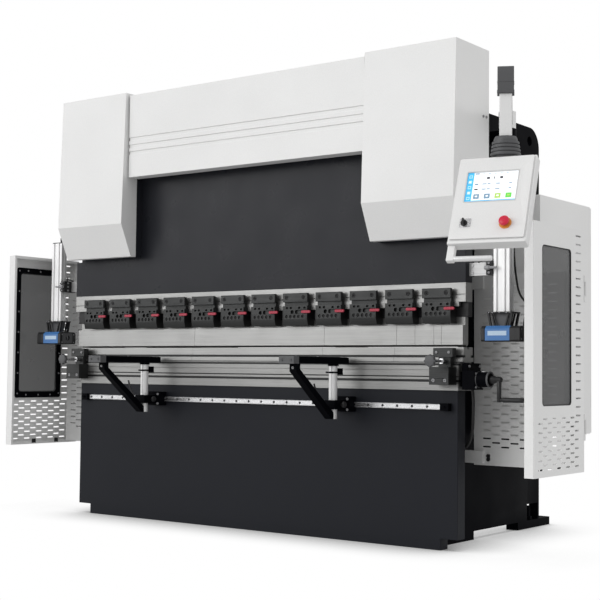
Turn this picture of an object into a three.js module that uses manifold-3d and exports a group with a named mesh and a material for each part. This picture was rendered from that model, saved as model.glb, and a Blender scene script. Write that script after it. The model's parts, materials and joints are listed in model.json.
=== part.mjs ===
// A hydraulic CNC press brake with a 2.5 m bed, as an assembly of separate named pieces.
// Units are millimetres. +X is to the operator's right, +Y goes from the operator towards the back, +Z is up.
// The origin is on the floor, under the middle of the bend line, and Y = 0 is the bend line's vertical plane.
// The ram is shown closed: the punch tip is just above the die.

import * as THREE from "three";
import { mergeVertices } from "three/addons/utils/BufferGeometryUtils.js";
import Module from "manifold-3d";

const wasm = await Module();
wasm.setup();

// ---------- Driving dimensions ----------

const GAP = 0.3; // clearance between pieces that touch
const SHEET = 3; // sheet metal thickness

const FRAME = { inner: 1000, outer: 1050, upperFront: 30, rear: 1067, top: 2083, corner: 105 };
const THROAT = { depth: 300, bottom: 716, top: 1300, corner: 80 };
const BED = { halfWidth: 1205, front: -57, back: 10, bottom: 52, footHalfWidth: 1117, top: 716 };
const TABLE = { halfWidth: 1208, halfDepth: 60, top: 842 };
const DIE = { halfWidth: 1225, holderHalfDepth: 50, holderTop: 872, halfDepth: 42, top: 912, veeHalfWidth: 12 };
const PUNCH = { left: -1255, right: 1218, front: -37, back: 12, tip: 914, flankTop: 922, bodyTop: 1012, top: 1049 };
const RAM = {
  halfWidth: 1235,
  leftEnd: -1275,
  wideTop: 1395,
  front: -42,
  back: 18,
  bottom: 1203,
  shoulder: 1450,
  neckHalfWidth: 780,
  top: 1900,
};
const STRIP = { ledge: 1116, railFront: -17.5 };
const CLAMP = { count: 12, width: 150, pitch: 200, front: -75, bottom: 1019, top: 1178 };
const CYLINDER = { x: 885, radius: 95, bore: 70, rod: 50, bottom: 1640, top: 2160 };
const COVER = { outer: 1262, inner: 772, top: 2284, bottom: 1403, back: 122, innerBack: -87 };
const BEAM_COVER = { halfWidth: 760, front: -165, bottom: 1825, top: 2270, sheet: 8 };
const RAIL = { halfLength: 1125, z: 642, height: 24, depth: 15 };
const SUPPORT = { x: 606, postY: -177, postRadius: 20, armTop: 862, armBottom: 832, footZ: 575 };
const LASER = { x: 1423, halfWidth: 39.5, columnFront: -60, columnBack: -20, columnBottom: 1066, columnTop: 1512 };
const LASER_ARM = { front: -12, bottom: 1233, top: 1291, clampInner: 1349, clampFront: -64 };
const HEAD = { inner: 1345, outer: 1533, front: -97, back: 19, bottom: 935, top: 1003, lensY: -42 };
const DOOR = { outer: 1653, inner: 1608, front: -208, rear: 289, bottom: 360, top: 1441 };
const DOOR_WINDOW = { front: -130, rear: 155, bottom: 660, top: 1345 };
const PANEL = { y: 200, inner: 1145, outer: 1600, bottom: 371, top: 1252 };
const CABINET = { outer: 1400, front: 367, rear: 926, bottom: 500, top: 1635 };
const CRANK = { y: -70, z: 768, throw: 88, hubStart: 1376, handleEnd: 1545 };
const PENDANT = { pivotX: 1292, pivotY: 244, armZ: 1975, tubeX: 1673, tubeY: -500, tube: 50 };
const CONTROL_BOX = { x: 1678, y: -622, z: 1478, width: 318, height: 395, yaw: 10.5, tilt: 24 };
const GAUGE = { railX: 730, beamHalfWidth: 960, beamFront: 300, beamBack: 380, beamBottom: 700, beamTop: 780 };

// ---------- Materials ----------

const paint = (color, roughness = 0.5) => new THREE.MeshStandardMaterial({ color, roughness, metalness: 0 });
const metal = (color, roughness = 0.35) => new THREE.MeshStandardMaterial({ color, roughness, metalness: 1 });

const MATERIAL = {
  whitePaint: paint(0xe4e4e2),
  graphitePaint: paint(0x3a3b40),
  blackPaint: paint(0x1a1b1e),
  greyPaint: paint(0xb9bab8),
  machinedSteel: metal(0xb4b5b3),
  blackenedSteel: metal(0x35363a, 0.55),
  aluminium: metal(0xc9cacb, 0.3),
  chrome: metal(0xe0e0e2, 0.12),
  blackPlastic: paint(0x1c1c1e, 0.6),
  redPlastic: paint(0xc8203a, 0.4),
};

// ---------- Solids ----------

// A closed three.js geometry as a manifold-3d solid.
function solid(geometry) {
  const bare = geometry.index ? geometry.toNonIndexed() : geometry.clone();
  bare.deleteAttribute("normal");
  bare.deleteAttribute("uv");
  const merged = mergeVertices(bare, 1e-4);
  const vertProperties = merged.attributes.position.array;
  const triVerts = new Uint32Array(merged.index.array);
  return new wasm.Manifold(new wasm.Mesh({ numProp: 3, vertProperties, triVerts }));
}

const join = (first, ...others) => others.reduce((sum, other) => sum.add(other), first);
const cut = (first, ...others) => others.reduce((rest, other) => rest.subtract(other), first);
const mirrored = (shape) => shape.mirror([1, 0, 0]);

function box([x0, x1], [y0, y1], [z0, z1]) {
  const geometry = new THREE.BoxGeometry(x1 - x0, y1 - y0, z1 - z0);
  geometry.translate((x0 + x1) / 2, (y0 + y1) / 2, (z0 + z1) / 2);
  return solid(geometry);
}

// A round bar along "x", "y" or "z", centred on a point.
function bar(axis, [x, y, z], radius, length, sides = 24) {
  const geometry = new THREE.CylinderGeometry(radius, radius, length, sides);
  if (axis === "x") geometry.rotateZ(Math.PI / 2);
  if (axis === "z") geometry.rotateX(Math.PI / 2);
  geometry.translate(x, y, z);
  return solid(geometry);
}

// A turned shape about a vertical axis: its profile is a list of [radius, z] that starts and ends on the axis.
function turned([x, y], profile, sides = 32) {
  const points = profile.map(([radius, z]) => new THREE.Vector2(radius, z));
  const geometry = new THREE.LatheGeometry(points, sides);
  geometry.rotateX(Math.PI / 2);
  geometry.translate(x, y, 0);
  return solid(geometry);
}

const outline = (points) => new THREE.Shape(points.map(([u, v]) => new THREE.Vector2(u, v)));
const extruded = (shape, depth) =>
  new THREE.ExtrudeGeometry(shape, { depth, bevelEnabled: false, curveSegments: 8 });

// A prism along X, from an outline in (y, z).
function alongX([x0, x1], shape) {
  const geometry = extruded(shape, x1 - x0);
  geometry.applyMatrix4(new THREE.Matrix4().set(0, 0, 1, x0, 1, 0, 0, 0, 0, 1, 0, 0, 0, 0, 0, 1));
  return solid(geometry);
}

// A prism along Y, from an outline in (x, z).
function alongY([y0, y1], shape) {
  const geometry = extruded(shape, y1 - y0);
  geometry.applyMatrix4(new THREE.Matrix4().set(1, 0, 0, 0, 0, 0, -1, y1, 0, 1, 0, 0, 0, 0, 0, 1));
  return solid(geometry);
}

function roundedRectangle([u0, u1], [v0, v1], radius) {
  const shape = new THREE.Shape();
  shape.moveTo(u0 + radius, v0);
  shape.absarc(u1 - radius, v0 + radius, radius, -Math.PI / 2, 0);
  shape.absarc(u1 - radius, v1 - radius, radius, 0, Math.PI / 2);
  shape.absarc(u0 + radius, v1 - radius, radius, Math.PI / 2, Math.PI);
  shape.absarc(u0 + radius, v0 + radius, radius, Math.PI, 1.5 * Math.PI);
  return shape;
}

// ---------- The assembly ----------

const machine = new THREE.Group();

function geometryOf(shape) {
  const mesh = shape.getMesh();
  const geometry = new THREE.BufferGeometry();
  geometry.setAttribute("position", new THREE.BufferAttribute(new Float32Array(mesh.vertProperties), 3));
  geometry.setIndex(new THREE.BufferAttribute(new Uint32Array(mesh.triVerts), 1));
  geometry.computeVertexNormals();
  return geometry;
}

function place(name, shape, material, parent = machine) {
  const mesh = new THREE.Mesh(geometryOf(shape), material);
  mesh.name = name;
  parent.add(mesh);
  return mesh;
}

// The right-hand piece and its mirror image.
function placePair(name, rightShape, material) {
  place(`right_${name}`, rightShape, material);
  place(`left_${name}`, mirrored(rightShape), material);
}

// ---------- Frame ----------

// C-shaped side plate: throat behind the tooling, rounded rear shoulder, lifting eye and an anchored rear pad.
function sideFrame() {
  const { inner, outer, upperFront, rear, top, corner } = FRAME;
  const lowerFront = BED.back + GAP;
  const footTop = 40;
  const frontFootEnd = 372;
  const shape = new THREE.Shape();
  shape.moveTo(lowerFront, 0);
  shape.lineTo(frontFootEnd, 0);
  shape.lineTo(frontFootEnd, footTop);
  shape.lineTo(rear, footTop);
  shape.absarc(rear - corner, top - corner, corner, 0, Math.PI / 2);
  shape.lineTo(upperFront, top);
  shape.lineTo(upperFront, THROAT.top);
  const { depth, bottom: throatBottom, top: throatTop, corner: radius } = THROAT;
  shape.absarc(depth - radius, throatTop - radius, radius, Math.PI / 2, 0, true);
  shape.absarc(depth - radius, throatBottom + radius, radius, 0, -Math.PI / 2, true);
  shape.lineTo(lowerFront, THROAT.bottom);
  const liftingEye = bar("x", [outer, 957, 2010], 25, 200);
  const padTop = footTop + 1;
  const boltNotch = box([inner - 1, outer + 1], [930, 1050], [padTop, 125]);
  const plate = cut(alongX([inner, outer], shape), liftingEye, boltNotch);
  const ramGuide = box([inner + 5, outer - 5], [RAM.back + GAP, upperFront + 1], [THROAT.top + 10, 1620]);
  const rearPad = box([inner - 17, outer], [830, 1190], [0, padTop]);
  const anchorBolt = bar("z", [outer - 25, 990, 70], 12, 84, 12);
  const anchorNut = bar("z", [outer - 25, 990, padTop + 8], 20, 18, 6);
  return join(plate, ramGuide, rearPad, anchorBolt, anchorNut);
}
placePair("side_frame", sideFrame(), MATERIAL.blackPaint);

// Upright plate that carries the table, on two low feet.
const bedOutline = outline([
  [-BED.footHalfWidth, 0],
  [BED.footHalfWidth, 0],
  [BED.footHalfWidth, BED.bottom],
  [BED.halfWidth, BED.bottom],
  [BED.halfWidth, BED.top],
  [-BED.halfWidth, BED.top],
  [-BED.halfWidth, BED.bottom],
  [-BED.footHalfWidth, BED.bottom],
]);
place("bed_plate", alongY([BED.front, BED.back], bedOutline), MATERIAL.graphitePaint);

// Upper beam between the side frames, with two posts under the beam cover.
function upperCrossBeam() {
  const width = FRAME.inner - GAP;
  const depth = [110, 150];
  const beam = box([-width, width], depth, [1600, 2060]);
  const posts = [-500, 500].map((x) => box([x - 30, x + 30], depth, [2000, BEAM_COVER.top - SHEET - GAP]));
  return join(beam, ...posts);
}
place("upper_cross_beam", upperCrossBeam(), MATERIAL.blackPaint);

// Rear beam between the side frames, with the two rails that carry the back gauge.
function gaugeBase() {
  const width = FRAME.inner - GAP;
  const beam = box([-width, width], [600, 680], [500, 620]);
  const rails = [-GAUGE.railX, GAUGE.railX].map((x) => box([x - 30, x + 30], [180, 640], [570, 620]));
  return join(beam, ...rails);
}
place("gauge_base", gaugeBase(), MATERIAL.graphitePaint);

// ---------- Hydraulics ----------

function oilTank() {
  const width = FRAME.inner - GAP;
  const tank = box([-700, 700], [260, 780], [1500, 1850]);
  const carriers = [300, 740].map((y) => box([-width, width], [y - 25, y + 25], [1480, 1530]));
  const filler = bar("z", [-550, 400, 1870], 45, 60);
  const returnFilter = bar("z", [520, 400, 1875], 60, 70);
  return join(tank, ...carriers, filler, returnFilter);
}
place("oil_tank", oilTank(), MATERIAL.graphitePaint);

function pumpMotor() {
  const z = 1975;
  const y = 580;
  const body = bar("x", [-60, y, z], 105, 360, 32);
  const fanCowl = bar("x", [-270, y, z], 95, 80, 32);
  const pump = bar("x", [170, y, z], 60, 130);
  const foot = box([-180, 60], [y - 90, y + 90], [1850 + GAP, 1900]);
  const terminalBox = box([-110, 10], [y - 50, y + 50], [z + 80, z + 150]);
  return join(body, fanCowl, pump, foot, terminalBox);
}
place("pump_motor", pumpMotor(), MATERIAL.greyPaint);

// The barrel is open at its lower end, where the rod leaves through the gland.
function cylinderBarrel() {
  const { x, radius, bore, rod, bottom, top } = CYLINDER;
  const y = (RAM.front + RAM.back) / 2;
  const gland = rod + 2;
  const barrel = turned(
    [x, y],
    [
      [0, top - 40],
      [bore, top - 40],
      [bore, bottom + 50],
      [gland, bottom + 50],
      [gland, bottom],
      [radius, bottom],
      [radius, top],
      [0, top],
    ],
  );
  const mountingBlock = box([x + 75, FRAME.inner - GAP], [y, 95], [1700, 1980]);
  const valveBlock = box([x - 45, x + 45], [y - 40, y + 40], [top - 5, top + 80]);
  return join(barrel, mountingBlock, valveBlock);
}
placePair("cylinder", cylinderBarrel(), MATERIAL.blackPaint);

// Rod with its piston at the top and the flange that bolts to the ram's shoulder.
function pistonRod() {
  const { x, rod, bore } = CYLINDER;
  const y = (RAM.front + RAM.back) / 2;
  const flangeTop = RAM.shoulder + 30;
  const pistonBottom = 1700;
  const pistonTop = 1760;
  return turned(
    [x, y],
    [
      [0, RAM.shoulder + GAP],
      [75, RAM.shoulder + GAP],
      [75, flangeTop],
      [rod, flangeTop],
      [rod, pistonBottom],
      [bore - 2, pistonBottom],
      [bore - 2, pistonTop],
      [0, pistonTop],
    ],
  );
}
placePair("piston_rod", pistonRod(), MATERIAL.chrome);

// ---------- Covers ----------

// Folded box over one cylinder: slightly raked front, chamfered chin, open at the back.
function cylinderCover() {
  const { outer, inner, top, bottom, back, innerBack } = COVER;
  const skin = (inset) =>
    outline([
      [-181 + inset, top - inset],
      [-203 + inset, 1574 + inset / 2],
      [-126 + inset / 2, bottom + inset],
      [back + 2 * inset, bottom + inset],
      [back + 2 * inset, top - inset],
    ]);
  const shell = cut(alongX([inner, outer], skin(0)), alongX([inner + SHEET, outer - SHEET], skin(SHEET)));
  const ramSpace = box([inner - 1, outer - SHEET], [innerBack, back + 10], [bottom - 10, top - SHEET]);
  const laserArmNotch = box([outer - 10, outer + 1], [innerBack, back + 10], [bottom - 10, 1560]);
  const brackets = [1660, 1970].map((z) => box([FRAME.outer + GAP, outer - 1], [50, 110], [z - 20, z + 20]));
  return join(cut(shell, ramSpace, laserArmNotch), ...brackets);
}
placePair("cylinder_cover", cylinderCover(), MATERIAL.whitePaint);

// Front cover between the cylinder covers, with three pressed grooves.
function beamCover() {
  const { halfWidth, front, bottom, top, sheet } = BEAM_COVER;
  const grooveHeight = 18;
  const grooveDepth = 5;
  const lipBack = -89;
  const roofBack = 150;
  const face = box([-halfWidth, halfWidth], [front, front + sheet], [bottom, top]);
  const roof = box([-halfWidth, halfWidth], [front, roofBack], [top - SHEET, top]);
  const lip = box([-halfWidth, halfWidth], [front, lipBack], [bottom, bottom + SHEET]);
  const grooves = [2040, 2001, 1965].map((z) =>
    box([-halfWidth - 1, halfWidth + 1], [front - 1, front + grooveDepth], [z - grooveHeight, z]),
  );
  return cut(join(face, roof, lip), ...grooves);
}
place("beam_cover", beamCover(), MATERIAL.whitePaint);

// ---------- Ram and upper tools ----------

// Ram plate with a shoulder under each cylinder and an arm at each end for the laser column.
function ramPlate() {
  const { halfWidth, leftEnd, wideTop, front, back, bottom, shoulder, neckHalfWidth, top } = RAM;
  const plate = outline([
    [leftEnd, bottom],
    [halfWidth, bottom],
    [halfWidth, shoulder],
    [neckHalfWidth, shoulder],
    [neckHalfWidth, top],
    [-neckHalfWidth, top],
    [-neckHalfWidth, shoulder],
    [-halfWidth, shoulder],
    [-halfWidth, wideTop],
    [leftEnd, wideTop],
  ]);
  const columnFace = LASER.x - LASER.halfWidth - GAP;
  const armHeights = [LASER_ARM.bottom, LASER_ARM.top];
  const arm = join(
    box([halfWidth - 10, columnFace], [LASER_ARM.front, back], armHeights),
    box([LASER_ARM.clampInner, columnFace], [LASER_ARM.clampFront, back], armHeights),
  );
  return join(alongY([front, back], plate), arm, mirrored(arm));
}
place("ram_plate", ramPlate(), MATERIAL.graphitePaint);

// Machined bar along the ram's lower edge, with the rail that the punch tang seats against.
const stripOutline = outline([
  [RAM.front, STRIP.ledge],
  [STRIP.railFront, STRIP.ledge],
  [STRIP.railFront, PUNCH.top + GAP],
  [RAM.back, PUNCH.top + GAP],
  [RAM.back, RAM.bottom - GAP],
  [RAM.front, RAM.bottom - GAP],
]);
place("clamp_strip", alongX([RAM.leftEnd, RAM.halfWidth], stripOutline), MATERIAL.machinedSteel);

// Punch: flat body, short flanks down to the tip on the bend line, and a tang behind the clamps' jaws.
const punchOutline = outline([
  [0, PUNCH.tip],
  [PUNCH.flankTop - PUNCH.tip, PUNCH.flankTop],
  [PUNCH.back, PUNCH.flankTop],
  [PUNCH.back, PUNCH.top],
  [-15, PUNCH.top],
  [-15, PUNCH.bodyTop],
  [PUNCH.front, PUNCH.bodyTop],
  [PUNCH.front, PUNCH.flankTop],
  [PUNCH.tip - PUNCH.flankTop, PUNCH.flankTop],
]);
place("punch", alongX([PUNCH.left, PUNCH.right], punchOutline), MATERIAL.machinedSteel);

// One quick clamp, drawn about its own middle: fixed block, neck, clamping jaw and lever tab.
function toolClamp() {
  const half = CLAMP.width / 2;
  const { front, bottom, top } = CLAMP;
  const bodyTop = STRIP.ledge - GAP;
  const blockBottom = 1131;
  const chamfer = 23;
  const fixedBlock = box([-half, half], [front, RAM.front - GAP], [blockBottom, top]);
  const neck = box([-half + 4, half - 4], [front + 14, RAM.front - GAP], [bodyTop - 10, blockBottom + 5]);
  const jaw = alongX(
    [-half, half],
    outline([
      [front + 10, bottom],
      [STRIP.railFront - 0.5, bottom],
      [STRIP.railFront - 0.5, bodyTop],
      [front, bodyTop],
      [front, bottom + chamfer],
    ]),
  );
  const lever = box([half - 48, half + 10], [front - 6, front + 4], [1077, 1093]);
  return join(fixedBlock, neck, jaw, lever);
}
const clampShape = toolClamp();
for (let i = 0; i < CLAMP.count; i += 1) {
  const name = `clamp_${String(i + 1).padStart(2, "0")}`;
  const mesh = place(name, clampShape, MATERIAL.blackenedSteel);
  mesh.position.x = (i - (CLAMP.count - 1) / 2) * CLAMP.pitch;
}

// ---------- Table and lower tool ----------

// Crowning table: a T-slot along its front face, and a narrower upper wedge.
const tableOutline = outline([
  [-TABLE.halfDepth, BED.top + GAP],
  [TABLE.halfDepth, BED.top + GAP],
  [TABLE.halfDepth, TABLE.top],
  [-TABLE.halfDepth + 4, TABLE.top],
  [-TABLE.halfDepth + 4, 836],
  [-TABLE.halfDepth, 836],
  [-TABLE.halfDepth, 766],
  [-TABLE.halfDepth + 14, 766],
  [-TABLE.halfDepth + 14, 755],
  [-TABLE.halfDepth, 755],
]);
place("crowning_table", alongX([-TABLE.halfWidth, TABLE.halfWidth], tableOutline), MATERIAL.machinedSteel);

// Die on its holder, with a vee along the bend line.
const dieOutline = outline([
  [-DIE.holderHalfDepth, TABLE.top + GAP],
  [DIE.holderHalfDepth, TABLE.top + GAP],
  [DIE.holderHalfDepth, DIE.holderTop],
  [DIE.halfDepth, DIE.holderTop],
  [DIE.halfDepth, DIE.top],
  [DIE.veeHalfWidth, DIE.top],
  [0, DIE.top - DIE.veeHalfWidth],
  [-DIE.veeHalfWidth, DIE.top],
  [-DIE.halfDepth, DIE.top],
  [-DIE.halfDepth, DIE.holderTop],
  [-DIE.holderHalfDepth, DIE.holderTop],
]);
place("die", alongX([-DIE.halfWidth, DIE.halfWidth], dieOutline), MATERIAL.machinedSteel);

// Bracket at each end of the table, with a clamping knob in front.
function endBracket() {
  const tableFace = -TABLE.halfDepth - GAP;
  const foot = box([-50, 50], [-130, tableFace], [742, 825]);
  const web = box([-30, 35], [-85, tableFace], [820, 870]);
  const head = box([-50, 50], [-95, tableFace], [866, 908]);
  const spindle = bar("y", [0, -140, 848], 8, 120, 12);
  const knob = bar("y", [0, -200, 848], 26, 30, 16);
  return join(foot, web, head, spindle, knob);
}
place("right_end_bracket", endBracket(), MATERIAL.blackenedSteel).position.x = 1148;
place("left_end_bracket", endBracket(), MATERIAL.blackenedSteel).position.x = -1200;

// End plate, bevel gear box and position counter of the crowning drive.
function crowningDrive() {
  const endPlate = box([1228, 1256], [-60, 60], [722, 840]);
  const spigot = box([TABLE.halfWidth + GAP, 1230], [-40, 40], [735, 800]);
  const gearBox = box([1255, 1317], [CRANK.y - 38, CRANK.y + 42], [722, 806]);
  const counter = bar("x", [1346, CRANK.y, CRANK.z], 34, 60, 24);
  return join(endPlate, spigot, gearBox, counter);
}
place("crowning_drive", crowningDrive(), MATERIAL.blackPaint);

// Hand crank: hub, arm hanging down and handle along the hub's axis.
function crank() {
  const { y, z, hubStart, handleEnd } = CRANK;
  const armX = 1418;
  const handleZ = z - CRANK.throw;
  const hub = bar("x", [(hubStart + GAP + 1432) / 2, y, z], 15, 1432 - hubStart - GAP, 20);
  const arm = box([armX - 9, armX + 9], [y - 11, y + 11], [handleZ - 11, z]);
  const handle = bar("x", [(armX + handleEnd) / 2, y, handleZ], 11, handleEnd - armX, 16);
  return join(hub, arm, handle);
}
place("crank", crank(), MATERIAL.blackPlastic);

// ---------- Front support arms ----------

// Rail along the bed's front with a stop at each end.
function frontRail() {
  const { halfLength, z, height, depth } = RAIL;
  const back = BED.front - GAP;
  const rail = box([-halfLength, halfLength], [back - depth, back], [z - height / 2, z + height / 2]);
  const stop = box([halfLength - 2, 1172], [back - 28, back], [z - 17, z + 17]);
  return join(rail, stop, mirrored(stop));
}
place("front_rail", frontRail(), MATERIAL.chrome);

// Carriage that wraps the rail and clamps the arm's post.
function supportCarriage() {
  const railFace = BED.front - GAP - RAIL.depth;
  const slack = 0.5;
  const block = box([-50, 50], [-110, BED.front - 3], [RAIL.z - 34, RAIL.z + 38]);
  const railChannel = box(
    [-60, 60],
    [railFace - slack, 0],
    [RAIL.z - RAIL.height / 2 - slack, RAIL.z + RAIL.height / 2 + slack],
  );
  const clampBlock = box([-34, 34], [-211, -100], [RAIL.z - 21, RAIL.z + 21]);
  const postHole = postBar(SUPPORT.postRadius + slack, [RAIL.z - 60, RAIL.z + 60]);
  return cut(join(block, clampBlock), railChannel, postHole);
}

function postBar(radius, [z0, z1]) {
  return bar("z", [0, SUPPORT.postY, (z0 + z1) / 2], radius, z1 - z0, 32);
}

// Post, horizontal bar with its end block, and the diagonal brace from the bar to the post's foot.
function supportArm() {
  const { armTop, armBottom, footZ, postRadius, postY } = SUPPORT;
  const braceTop = -490;
  const braceThickness = 30;
  const braceBend = 795;
  const post = postBar(postRadius, [footZ, armBottom + 5]);
  const beam = box([-20, 20], [-505, -75], [armBottom, armTop]);
  const endBlock = box([-42, 42], [-540, -500], [armBottom - 2, armTop + 2]);
  const postFront = postY - postRadius;
  const brace = alongX(
    [-20, 20],
    outline([
      [braceTop, armBottom + 5],
      [braceTop, braceBend],
      [postFront - 15, footZ],
      [postFront + 5, footZ],
      [postFront + 5, footZ + 26],
      [braceTop + braceThickness, braceBend + 10],
      [braceTop + braceThickness, armBottom + 5],
    ]),
  );
  return join(post, beam, endBlock, brace);
}
for (const [side, sign] of [["right", 1], ["left", -1]]) {
  const x = sign * SUPPORT.x;
  place(`${side}_support_carriage`, supportCarriage(), MATERIAL.blackPaint).position.x = x;
  place(`${side}_support_arm`, supportArm(), MATERIAL.blackPaint).position.x = x;
}

// ---------- Laser safety ----------

// Aluminium column with an open slot along each face, two on the wide faces.
function laserColumn() {
  const { x, halfWidth, columnFront, columnBack, columnBottom, columnTop } = LASER;
  const slotHalf = 4;
  const slotDepth = 7;
  const slotSpacing = 20;
  const middleY = (columnFront + columnBack) / 2;
  const heights = [columnBottom - 1, columnTop + 1];
  const slots = [];
  for (const slotX of [x - slotSpacing, x + slotSpacing]) {
    const sides = [slotX - slotHalf, slotX + slotHalf];
    slots.push(box(sides, [columnFront - 1, columnFront + slotDepth], heights));
    slots.push(box(sides, [columnBack - slotDepth, columnBack + 1], heights));
  }
  const edges = [middleY - slotHalf, middleY + slotHalf];
  slots.push(box([x - halfWidth - 1, x - halfWidth + slotDepth], edges, heights));
  slots.push(box([x + halfWidth - slotDepth, x + halfWidth + 1], edges, heights));
  return cut(box([x - halfWidth, x + halfWidth], [columnFront, columnBack], [columnBottom, columnTop]), ...slots);
}
placePair("laser_column", laserColumn(), MATERIAL.aluminium);

// Laser head: long housing with chamfered top edges and a lens ring on its inward end. A hanger of four
// struts, a tapered plate and a top plate joins it to the column.
function laserHead() {
  const { inner, outer, front, back, bottom, top, lensY } = HEAD;
  const { x, columnFront, columnBack, columnBottom } = LASER;
  const chamfer = 10;
  const housing = alongX(
    [inner, outer],
    outline([
      [front, bottom],
      [back, bottom],
      [back, top - chamfer],
      [back - chamfer, top],
      [front + chamfer, top],
      [front, top - chamfer],
    ]),
  );
  const lensRing = bar("x", [inner - 2, lensY, (bottom + top) / 2], 20, 8, 20);
  const reach = 62;
  const hangerTop = columnBottom - GAP;
  const topPlate = box([x - reach, x + reach], [columnFront - 20, columnBack + 20], [hangerTop - 8, hangerTop]);
  const taperedPlate = alongY(
    [columnFront + 5, columnBack - 5],
    outline([
      [x - 28, top - 2],
      [x + 28, top - 2],
      [x + 45, hangerTop - 4],
      [x - 45, hangerTop - 4],
    ]),
  );
  const struts = [];
  for (const strutX of [x - reach, x + reach - 10]) {
    for (const strutY of [columnFront - 20, columnBack + 10]) {
      struts.push(box([strutX, strutX + 10], [strutY, strutY + 10], [top - 2, hangerTop - 4]));
    }
  }
  return join(housing, lensRing, topPlate, taperedPlate, ...struts);
}
placePair("laser_head", laserHead(), MATERIAL.blackPlastic);

// ---------- Side guards ----------

// Hinged side door: folded tray, open on the inside, with a window opening.
function sideDoor() {
  const { outer, inner, front, rear, bottom, top } = DOOR;
  const tray = box([inner, outer], [front, rear], [bottom, top]);
  const hollow = box(
    [inner - 1, outer - SHEET],
    [front + SHEET, rear - SHEET],
    [bottom + SHEET, top - SHEET],
  );
  const windowShape = roundedRectangle(
    [DOOR_WINDOW.front, DOOR_WINDOW.rear],
    [DOOR_WINDOW.bottom, DOOR_WINDOW.top],
    18,
  );
  return cut(tray, hollow, alongX([outer - 10, outer + 10], windowShape));
}
placePair("side_door", sideDoor(), MATERIAL.whitePaint);

// Fixed panel that closes the side, from the frame to the door's hinges.
function guardPanel() {
  const { y, inner, outer, bottom, top } = PANEL;
  const face = box([inner, outer], [y, y + SHEET], [bottom, top]);
  const hingePost = box([outer - SHEET, outer], [y, 330], [bottom, top]);
  const brackets = [409, 1215].map((z) => box([FRAME.outer + GAP, 1200], [y - 14, y + 1], [z - 29, z + 29]));
  const hingeArms = [560, 1180].map((z) => box([outer - 2, 1646], [DOOR.rear + 5, 325], [z - 30, z + 30]));
  return join(face, hingePost, ...brackets, ...hingeArms);
}
placePair("guard_panel", guardPanel(), MATERIAL.greyPaint);

// Electrical cabinet on the right side frame, open at the back behind its door.
function electricalCabinet() {
  const { outer, front, rear, bottom, top } = CABINET;
  const inner = FRAME.outer + GAP;
  const wall = 4;
  const body = box([inner, outer], [front, rear], [bottom, top]);
  const hollow = box([inner + wall, outer - wall], [front + wall, rear + 1], [bottom + wall, top - wall]);
  return cut(body, hollow);
}
place("electrical_cabinet", electricalCabinet(), MATERIAL.whitePaint);

function cabinetDoor() {
  const { outer, rear, bottom, top } = CABINET;
  return box([FRAME.outer + 8, outer - 2], [rear + 1, rear + 19], [bottom + 4, top - 4]);
}
place("cabinet_door", cabinetDoor(), MATERIAL.whitePaint);

// ---------- Control pendant ----------

// Bracket on the side frame with the lower half of the arm's swivel.
function pendantBracket() {
  const { pivotX, pivotY, armZ } = PENDANT;
  const top = armZ - 40;
  const plate = box([FRAME.outer + GAP, FRAME.outer + 12], [pivotY - 60, pivotY + 60], [top - 150, top]);
  const arm = box([FRAME.outer + 10, pivotX], [pivotY - 26, pivotY + 26], [top - 60, top - 6]);
  const socket = bar("z", [pivotX, pivotY, top - 40], 42, 80, 28);
  return join(plate, arm, socket);
}
place("pendant_bracket", pendantBracket(), MATERIAL.blackPaint);

// The arm's group has its origin on the swivel axis, and its +X runs along the arm to the drop tube.
const armReach = Math.hypot(PENDANT.tubeX - PENDANT.pivotX, PENDANT.tubeY - PENDANT.pivotY);
const armGroup = new THREE.Group();
armGroup.position.set(PENDANT.pivotX, PENDANT.pivotY, 0);
armGroup.rotation.z = Math.atan2(PENDANT.tubeY - PENDANT.pivotY, PENDANT.tubeX - PENDANT.pivotX);
machine.add(armGroup);

function pendantArm() {
  const half = PENDANT.tube / 2;
  const { armZ } = PENDANT;
  const swivel = bar("z", [0, 0, armZ], 40, 80 - 2 * GAP, 28);
  const tube = box([0, armReach - 34 - GAP], [-half, half], [armZ - half, armZ + half]);
  return join(swivel, tube);
}
place("pendant_arm", pendantArm(), MATERIAL.whitePaint, armGroup);

// Elbow casting and the square tube that hangs from it.
function dropTube() {
  const half = PENDANT.tube / 2;
  const tubeBottom = 1745;
  const elbowHalf = 33;
  const elbow = alongY(
    [-elbowHalf, elbowHalf],
    outline([
      [armReach - elbowHalf, 1920],
      [armReach + elbowHalf, 1920],
      [armReach + elbowHalf, 2000],
      [armReach + 24, 2028],
      [armReach - elbowHalf, 2028],
    ]),
  );
  const tube = box([armReach - half, armReach + half], [-half, half], [tubeBottom, 1925]);
  return join(elbow, tube);
}
place("drop_tube", dropTube(), MATERIAL.whitePaint, armGroup);

// Ribbed swivel coupling under the drop tube, turned about the tube's axis.
function swivelCoupling() {
  const top = 1745 - GAP;
  const bottom = 1668;
  const profile = [[0, bottom], [60, bottom]];
  const ribs = 4;
  const pitch = 14;
  for (let i = 0; i < ribs; i += 1) {
    const z = bottom + i * pitch;
    profile.push([60 - i * 2, z + pitch - 5], [54 - i * 2, z + pitch - 4], [54 - i * 2, z + pitch]);
  }
  profile.push([42, top], [0, top]);
  return turned([PENDANT.tubeX, PENDANT.tubeY], profile, 28);
}

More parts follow.
